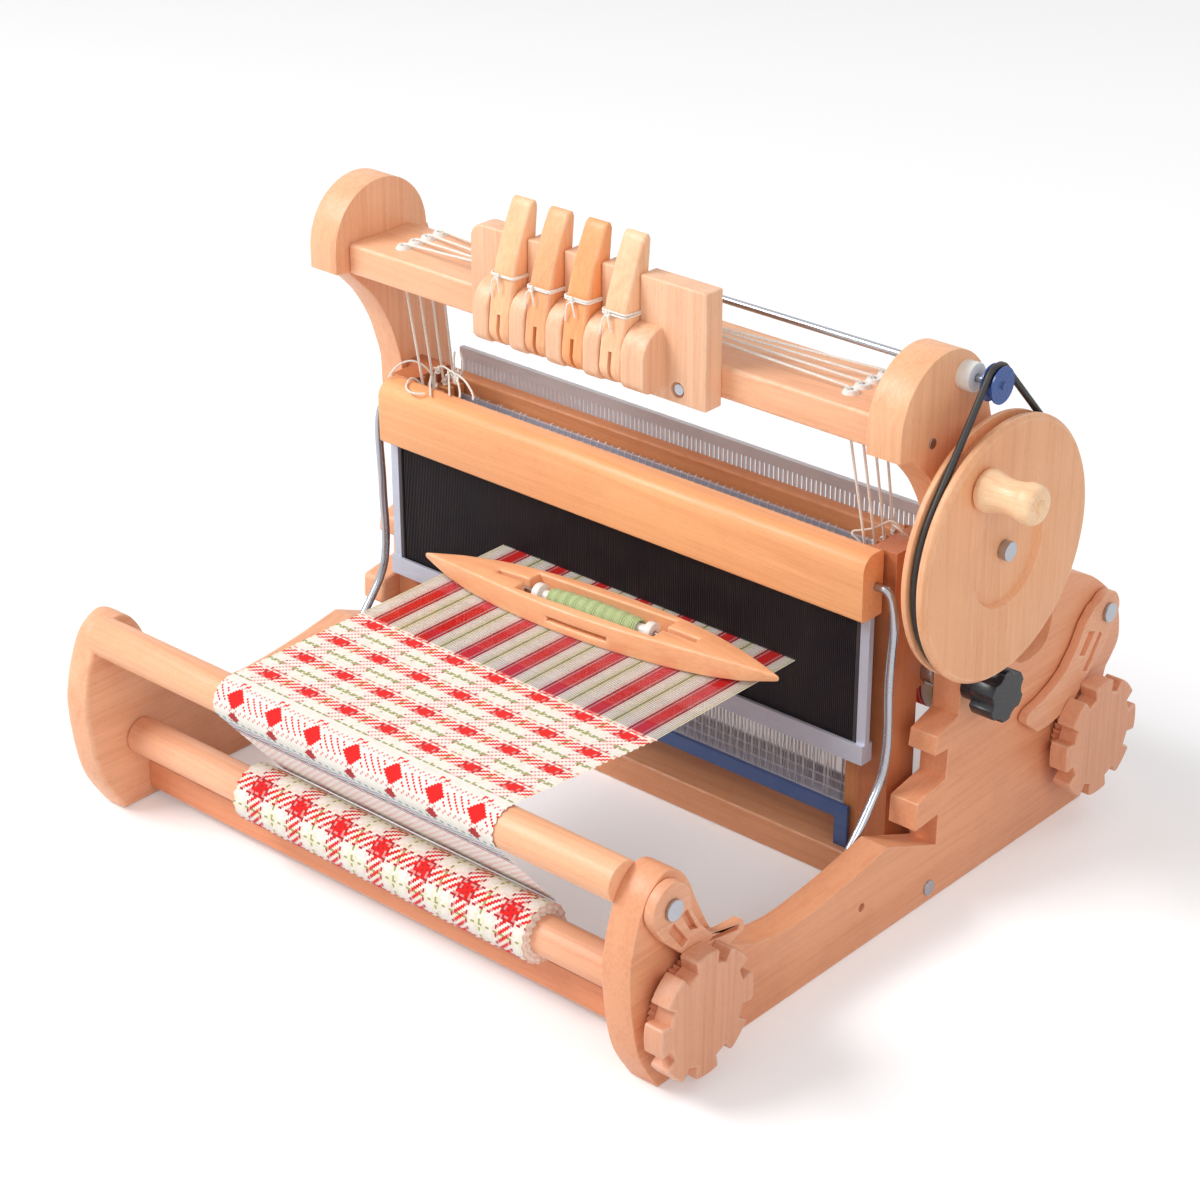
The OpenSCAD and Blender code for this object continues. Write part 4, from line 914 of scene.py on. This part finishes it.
def heddleRoutes(x, y):
    side = []
    for s in (-1, 1):
        side.append([(x, y, heddle["top"]), (x, y + s * 1.75, 233), (x, y + s * 1.75, 224),
                     (x + s * 0.25, y + s * 0.2, 216), (x + s * 0.25, y, 161), (x + s * 1.0, y, heddle["eye"]),
                     (x + s * 0.25, y, 148), (x + s * 0.25, y + s * 0.2, 58), (x, y + s * 1.75, 50),
                     (x, y + s * 1.75, 42), (x, y, heddle["bottom"])])
    return side


def hangHeddles():
    for k in range(4):
        routes = []
        for column in range(k, plaid["threads"], 4):
            routes += heddleRoutes(threadX(column), shaftY[k])
        for near, far, count in heddle["spare"].values():
            # the heddles without a thread hang in uneven steps beside the warp
            for index in range(count):
                share = (index + 0.35 * math.sin(index * 2.3 + k * 1.7) + 0.25 * k) / count
                routes += heddleRoutes(near + (far - near) * min(max(share, 0), 1), shaftY[k])
        piece = strandMesh("heddleSet%d" % (k + 1), routes, heddle["wire"], 4)
        keepPiece(piece, "shaft_%d" % (k + 1), heddleWire, ["heddles_%d" % (k + 1)])


hangHeddles()

# Steel reed with a dent between each two warp threads
reedLook = {"half": 209, "front": -19, "back": -14, "low": 103, "high": 211, "dent": 0.34}


def buildReed():
    shape = bmesh.new()
    half = reedLook["half"]
    front = reedLook["front"]
    back = reedLook["back"]
    bars = []
    for low, high in ((reedLook["low"], 112), (205, reedLook["high"])):
        bars += addBlock(shape, (-half, front, low), (half, back, high))
    for side in (-1, 1):
        inner = side * (half - 3)
        bars += addBlock(shape, (min(inner, side * half), front, 112), (max(inner, side * half), back, 205))
    barEdges = list({edge for vert in bars for edge in vert.link_edges})
    bmesh.ops.bevel(shape, geom=barEdges, offset=0.6 * mm, offset_type="OFFSET", segments=2, profile=0.5,
                    affect="EDGES", clamp_overlap=True, material=-1)
    first = math.ceil((-half + 4 - plaid["left"]) / threadPitch)
    last = math.floor((half - 4 - plaid["left"]) / threadPitch)
    for index in range(first, last + 1):
        x = plaid["left"] + index * threadPitch
        addBlock(shape, (x - reedLook["dent"] / 2, front + 0.7, 112), (x + reedLook["dent"] / 2, back - 0.7, 205))
    return pieceFromMesh("reedPiece", shape)


keepPiece(buildReed(), "beater", reedSteel, ["reed"])

# Bent steel arms of the beater, each one smooth rod to an eye at its pivot
armLook = {"x": 230.5, "radius": 3, "pivot": (-71, 31), "eye": 4}
armRoute = [(217, -15, 228), (226.5, -15, 227), (230.5, -15, 220), (230.5, -15, 160), (230.5, -15, 108),
            (230.5, -19, 94), (230.5, -30, 78), (230.5, -60, 44), (230.5, -66, 37), (230.5, -70.5, 31.6)]


def buildArms():
    routes = [[(side * x, y, z) for x, y, z in armRoute] for side in (-1, 1)]
    rods = strandMesh("beaterArmsPiece", routes, armLook["radius"], 16, smooth=True)
    shape = bmesh.new()
    shape.from_mesh(rods.data)
    y, z = armLook["pivot"]
    for side in (-1, 1):
        for radius, low, high in ((armLook["eye"], 226.5, 234.5), (armLook["radius"], 230, 253)):
            place = (Matrix.Translation(Vector((side * (low + high) / 2, y, z)) * mm)
                     @ Matrix.Rotation(math.radians(90), 4, "Y"))
            pin = bmesh.ops.create_cone(shape, cap_ends=True, segments=28, radius1=radius * mm,
                                        radius2=radius * mm, depth=(high - low) * mm, matrix=place)["verts"]
            rims = [edge for edge in {e for vert in pin for e in vert.link_edges}
                    if edge.calc_face_angle(0) > 1]
            bmesh.ops.bevel(shape, geom=rims, offset=0.5 * mm, offset_type="OFFSET", segments=2, profile=0.5,
                            affect="EDGES", clamp_overlap=True, material=-1)
    softenShading(shape, flatArea=20 * mm * mm)
    shape.to_mesh(rods.data)
    shape.free()
    return rods


keepPiece(buildArms(), "beater", brightSteel, ["beater_arms"])
print("beater dressed")

# Drive belt: a round rubber cord in the grooves of the wheel and the pulley
beltLook = {"x": 281.5, "wheel": (18, 265.3), "wheelRadius": 82.7, "pulley": (11, 376.5), "pulleyRadius": 11.7,
            "thickness": 2.35}


def buildBelt():
    (wheelY, wheelZ) = beltLook["wheel"]
    (pulleyY, pulleyZ) = beltLook["pulley"]
    reach = math.hypot(pulleyY - wheelY, pulleyZ - wheelZ)
    tilt = math.asin((beltLook["wheelRadius"] - beltLook["pulleyRadius"]) / reach)
    lean = math.atan2(pulleyZ - wheelZ, pulleyY - wheelY)
    route = []
    quarter = math.pi / 2
    for centre, radius, first, last, steps in (
            (beltLook["pulley"], beltLook["pulleyRadius"], lean - quarter + tilt, lean + quarter - tilt, 16),
            (beltLook["wheel"], beltLook["wheelRadius"], lean + quarter - tilt, lean + 3 * quarter + tilt, 64)):
        for step in range(steps + 1):
            angle = first + (last - first) * step / steps
            route.append((beltLook["x"], centre[0] + radius * math.cos(angle),
                          centre[1] + radius * math.sin(angle)))
    return strandMesh("driveBeltPiece", [route], beltLook["thickness"], 10, closed=True)


keepPiece(buildBelt(), "frame", beltRubber, ["drive_belt"])


# Yarn on the bobbin: one long winding, fuller in the middle
shuttleTurn = math.radians(3.9)
shuttleCentre = (28, -71, 166.6)


def atShuttle(x, y, z):
    turned = (x * math.cos(shuttleTurn) - y * math.sin(shuttleTurn),
              x * math.sin(shuttleTurn) + y * math.cos(shuttleTurn))
    return (shuttleCentre[0] + turned[0], shuttleCentre[1] + turned[1], shuttleCentre[2] + z)


winding = {"half": 37, "turns": 56, "steps": 14, "radius": 0.72, "thin": 5.2, "full": 1.6}


def buildWinding():
    shape = []
    total = winding["turns"] * winding["steps"]
    for layer in range(2):
        route = []
        for index in range(total + 1):
            share = index / total
            x = winding["half"] * (2 * share - 1) * (1 - 2 * layer)
            lift = winding["thin"] + layer * 0.9 + winding["full"] * math.cos((share - 0.5) * math.pi) ** 0.7
            lift += 0.18 * math.sin(share * 41)
            angle = 2 * math.pi * index / winding["steps"]
            wobble = 0.35 * math.sin(share * 60 + layer)
            route.append(atShuttle(x + wobble, lift * math.cos(angle), lift * math.sin(angle)))
        shape.append(route)
    return strandMesh("bobbinWinding", shape, winding["radius"], 6)


keepPiece(buildWinding(), "bobbin", greenYarn, ["bobbin_yarn"])
print("belt and bobbin dressed")


# Lift cords: from each lever over the board to its eyelet at both ends, and down to the shaft
cordLook = {"radius": 0.9, "over": 356.5, "eyeletX": 195, "leverX": leverMiddles}


def stringLiftCords():
    lie = cordLook["over"] + 3.7
    eyelet = cordLook["eyeletX"]
    for k in range(4):
        pulls, runs, drops = [], [], []
        y = -20 + 12 * k
        for s in (-1, 1):
            x = cordLook["leverX"][k] + s * 3
            bend = (x, -33, 373 + (k if s > 0 else 0))
            pulls.append([(x, -47.6, 380.6), (x, -44, 379.4), (x, -41, 378.3), (x, -38, 377),
                          (x, -35.5, bend[2] + 2), bend])
            runs.append([bend, (s * (eyelet - 2.2), y, lie), (s * (eyelet - 0.5), y, lie - 1),
                         (s * eyelet, y, 350), (s * eyelet, y, 333)])
            low = Vector((s * (eyelet + 3), shaftY[k], 239.5))
            high = Vector((s * eyelet, y, 333))
            drops.append([high.lerp(low, step / 8) for step in range(9)])
        name = str(k + 1)
        pullPiece = strandMesh("cordPull" + name, pulls, cordLook["radius"], 8)
        runPiece = strandMesh("cordRun" + name, runs, cordLook["radius"], 8)
        dropPiece = strandMesh("cordDrop" + name, drops, cordLook["radius"], 8)
        for piece in (pullPiece, runPiece, dropPiece):
            piece.data.materials.clear()
            piece.data.materials.append(cordCotton)
        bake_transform(pullPiece)
        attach(runPiece, "frame")
        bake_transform(dropPiece)
        if k == 0:
            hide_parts("lift_cords")


stringLiftCords()
print("lift cords strung")


# Cotton bands tie the cords to the levers, with a knot in front
bandLook = {"height": 382.6, "front": -69.3, "back": -46.6, "half": 10.2, "corner": 2.6, "radius": 0.75,
            "tail": 11}


def bandRoute(x, height, tilt):
    points = []
    for turn, (sideX, sideY) in enumerate(((1, 1), (-1, 1), (-1, -1), (1, -1))):
        cornerX = x + sideX * (bandLook["half"] - bandLook["corner"])
        edge = bandLook["back"] - bandLook["corner"] if sideY > 0 else bandLook["front"] + bandLook["corner"]
        for step in range(5):
            angle = math.radians(90 * turn + 22.5 * step)
            y = edge + bandLook["corner"] * math.sin(angle)
            lean = (bandLook["back"] - y) * tilt
            points.append((cornerX + bandLook["corner"] * math.cos(angle), y, height + lean))
    return points


def knotRoute(centre, size, turn=0.0):
    # a closed overhand knot
    points = []
    for step in range(28):
        t = 2 * math.pi * step / 28
        x = math.sin(t) + 2 * math.sin(2 * t)
        z = math.cos(t) - 2 * math.cos(2 * t)
        points.append((centre[0] + size * (x * math.cos(turn) - z * math.sin(turn)),
                       centre[1] - size * math.sin(3 * t) * 0.9,
                       centre[2] + size * (x * math.sin(turn) + z * math.cos(turn))))
    return points


def tieLevers():
    for k, middle in enumerate(leverMiddles):
        name = str(k + 1)
        height = bandLook["height"] + (0.8, -0.4, 0.5, -0.9)[k]
        loops = [bandRoute(middle, height, 0.05), bandRoute(middle, height + 1.5, 0.01 + 0.02 * k)]
        knotX = middle + (-3, -5, -2, -4)[k]
        front = bandLook["front"] - 0.6
        loops.append(knotRoute((knotX, front - 0.9, height + 1.5), 0.62, 0.5 * k))
        band = strandMesh("leverBand" + name, loops, bandLook["radius"], 8, closed=True)
        keepPiece(band, "lever_" + name, cordCotton)
        tails = []
        for s in (-1, 1):
            tails.append([(knotX, front - 0.9, height + 1), (knotX + s * 2.2, front - 2.2, height - 1.5),
                          (knotX + s * 3.2, front - 2.4, height - 5),
                          (knotX + s * (3.4 + k * 0.4), front - 2.2, height - bandLook["tail"] + s * 2)])
        ends = strandMesh("leverTie" + name, tails, 0.6, 8, smooth=True)
        keepPiece(ends, "lever_" + name, cordCotton)


tieLevers()

# The cords are knotted at the tops of the shafts and their spare ends lie over the cap's ends
cordTails = {
    "Arch": (2, [(-196, 9, 243), (-199, 6, 254), (-206, -1, 262.5), (-210.5, -6, 263), (-215.2, -13, 258.8),
                 (-216, -19, 253.2)]),
    "Span": (2, [(-197, 9, 243), (-194, 7, 256), (-186, 5, 262.5), (-173.5, 2, 262.8), (-160.1, -1, 262.4),
                 (-149, -5, 259.5), (-143, -7.5, 255), (-142, -9, 253.2)]),
    "Ring": (1, [(-197, -1, 242), (-200, -5, 250), (-201.5, -9, 253.3), (-199, -17, 253.3),
                 (-189, -26.5, 253.2), (-181, -27.5, 253.2), (-175.5, -23, 253.2)]),
    "Drop": (1, [(-196, -1, 242), (-192, 0, 254), (-188, -4, 256.5), (-182, -11, 254.5), (-175, -18, 253.2),
                 (-170, -23, 253.2)]),
    "Curl": (3, [(-196, 19, 243), (-186, 12, 256), (-177, 3, 258.5), (-170, -4, 257), (-164, -10, 253.6),
                 (-160, -14, 253.2)]),
    "Slip": (3, [(-197, 19, 243), (-184, 13, 257), (-172, 3, 261), (-162, -3, 258.6), (-155.5, -8, 254),
                 (-152, -12, 253.2)]),
    "Spray": (4, [(-196, 29, 243), (-184, 18, 254), (-178, 10, 261), (-178.4, 10, 267.8), (-176.5, 9, 275)]),
    "Frond": (4, [(-197, 29, 243), (-182, 17, 253), (-170, 9, 260), (-167.5, 8, 268), (-170, 8, 277)]),
    "East": (1, [(197, -1, 242), (192, -2, 248), (188, -3, 252.5), (191, 0, 253.6), (196, 5, 254.5),
                 (202, 10, 258), (207, 13, 260.5), (212, 15, 257), (213, 17, 251.2)]),
    "Loop": (4, [(197, 29, 243), (203, 24, 251), (206, 16, 256), (210, 12, 258.5), (215, 13, 256),
                 (217, 17, 251.4)])}


def leaveCordTails():
    for name, (shaft, points) in cordTails.items():
        tail = strandCurve("cordTail" + name, [points], 0.75, 8, smooth=True)
        keepPiece(tail, "shaft_%d" % shaft, cordCotton)
    knots = {1: [], 2: [], 3: [], 4: []}
    for k in range(4):
        for s in (-1, 1):
            knots[k + 1].append(knotRoute((s * 197.4, shaftY[k], 243.2), 0.85, k + s))
    knots[2].append(knotRoute((-190, 4.5, 259), 0.9, 0.4))
    knots[3].append(knotRoute((-178, 4, 258.2), 0.9, 1.4))
    knots[3].append(knotRoute((-166, -1, 259.4), 0.9, 2.2))
    knots[4].append(knotRoute((-176, 11, 258.5), 0.9, 0.9))
    for shaft, routes in knots.items():
        piece = strandMesh("shaftKnots%d" % shaft, routes, 0.7, 8, closed=True)
        keepPiece(piece, "shaft_%d" % shaft, cordCotton)


leaveCordTails()
print("bands, knots and spare ends tied")


# White studio: a pale floor that keeps the loom's shadow, soft lamps and a white world
def buildFloor():
    shape = bmesh.new()
    bmesh.ops.create_grid(shape, x_segments=2, y_segments=2, size=6)
    bmesh.ops.translate(shape, verts=shape.verts, vec=(0, 0, -0.0003))
    floor = pieceFromMesh("studioFloor", shape)
    material, tree, shader = newMaterial("studioFloorWhite")
    shader.inputs["Base Color"].default_value = (0.86, 0.86, 0.87, 1)
    shader.inputs["Roughness"].default_value = 0.9
    shader.inputs["Specular IOR Level"].default_value = 0.1
    path = addNode(tree, "ShaderNodeLightPath").outputs
    seen = math2(tree, "MAXIMUM", path["Is Camera Ray"], path["Is Glossy Ray"])
    glow = math2(tree, "MULTIPLY", seen, studioLook["floorGlow"])
    shader.inputs["Emission Color"].default_value = (1, 1, 1, 1)
    tree.links.new(glow, shader.inputs["Emission Strength"])
    floor.data.materials.append(material)


def buildWorld():
    world = bpy.data.worlds.new("studioWorld")
    world.use_nodes = True
    studio.world = world
    tree = world.node_tree
    background = tree.nodes["Background"]
    path = addNode(tree, "ShaderNodeLightPath").outputs
    seen = math2(tree, "MAXIMUM", path["Is Camera Ray"], path["Is Glossy Ray"])
    seen = math2(tree, "MAXIMUM", seen, path["Is Transmission Ray"])
    level = addNode(tree, "ShaderNodeMapRange", {"Value": seen, "To Min": studioLook["sky"], "To Max": 1.0})
    background.inputs["Color"].default_value = (1, 1, 1, 1)
    tree.links.new(level.outputs[0], background.inputs["Strength"])


def addLamp(name, lamp):
    data = bpy.data.lights.new(name, "AREA")
    data.shape = "RECTANGLE"
    data.size = lamp["size"]
    data.size_y = lamp["size"] * 0.7
    data.energy = lamp["power"]
    data.color = lamp.get("colour", (1, 1, 1))
    light = bpy.data.objects.new(name, data)
    studio.collection.objects.link(light)
    place = Vector(lamp["place"])
    turn = (Vector((0, 0, 0.15)) - place).to_track_quat("-Z", "Y").to_matrix().to_4x4()
    light.matrix_world = Matrix.Translation(place) @ turn


studioLook = {"sky": 0.42, "floorGlow": 0.22}
keyLamp = {"place": (-1.7, -1.9, 2.6), "size": 1.8, "power": 95}
fillLamp = {"place": (2.4, -1.2, 1.6), "size": 2.0, "power": 22}
backLamp = {"place": (0.6, 2.4, 2.2), "size": 2.0, "power": 14}
buildFloor()
buildWorld()
addLamp("keyLamp", keyLamp)
addLamp("fillLamp", fillLamp)
addLamp("backLamp", backLamp)

print("studio ready")
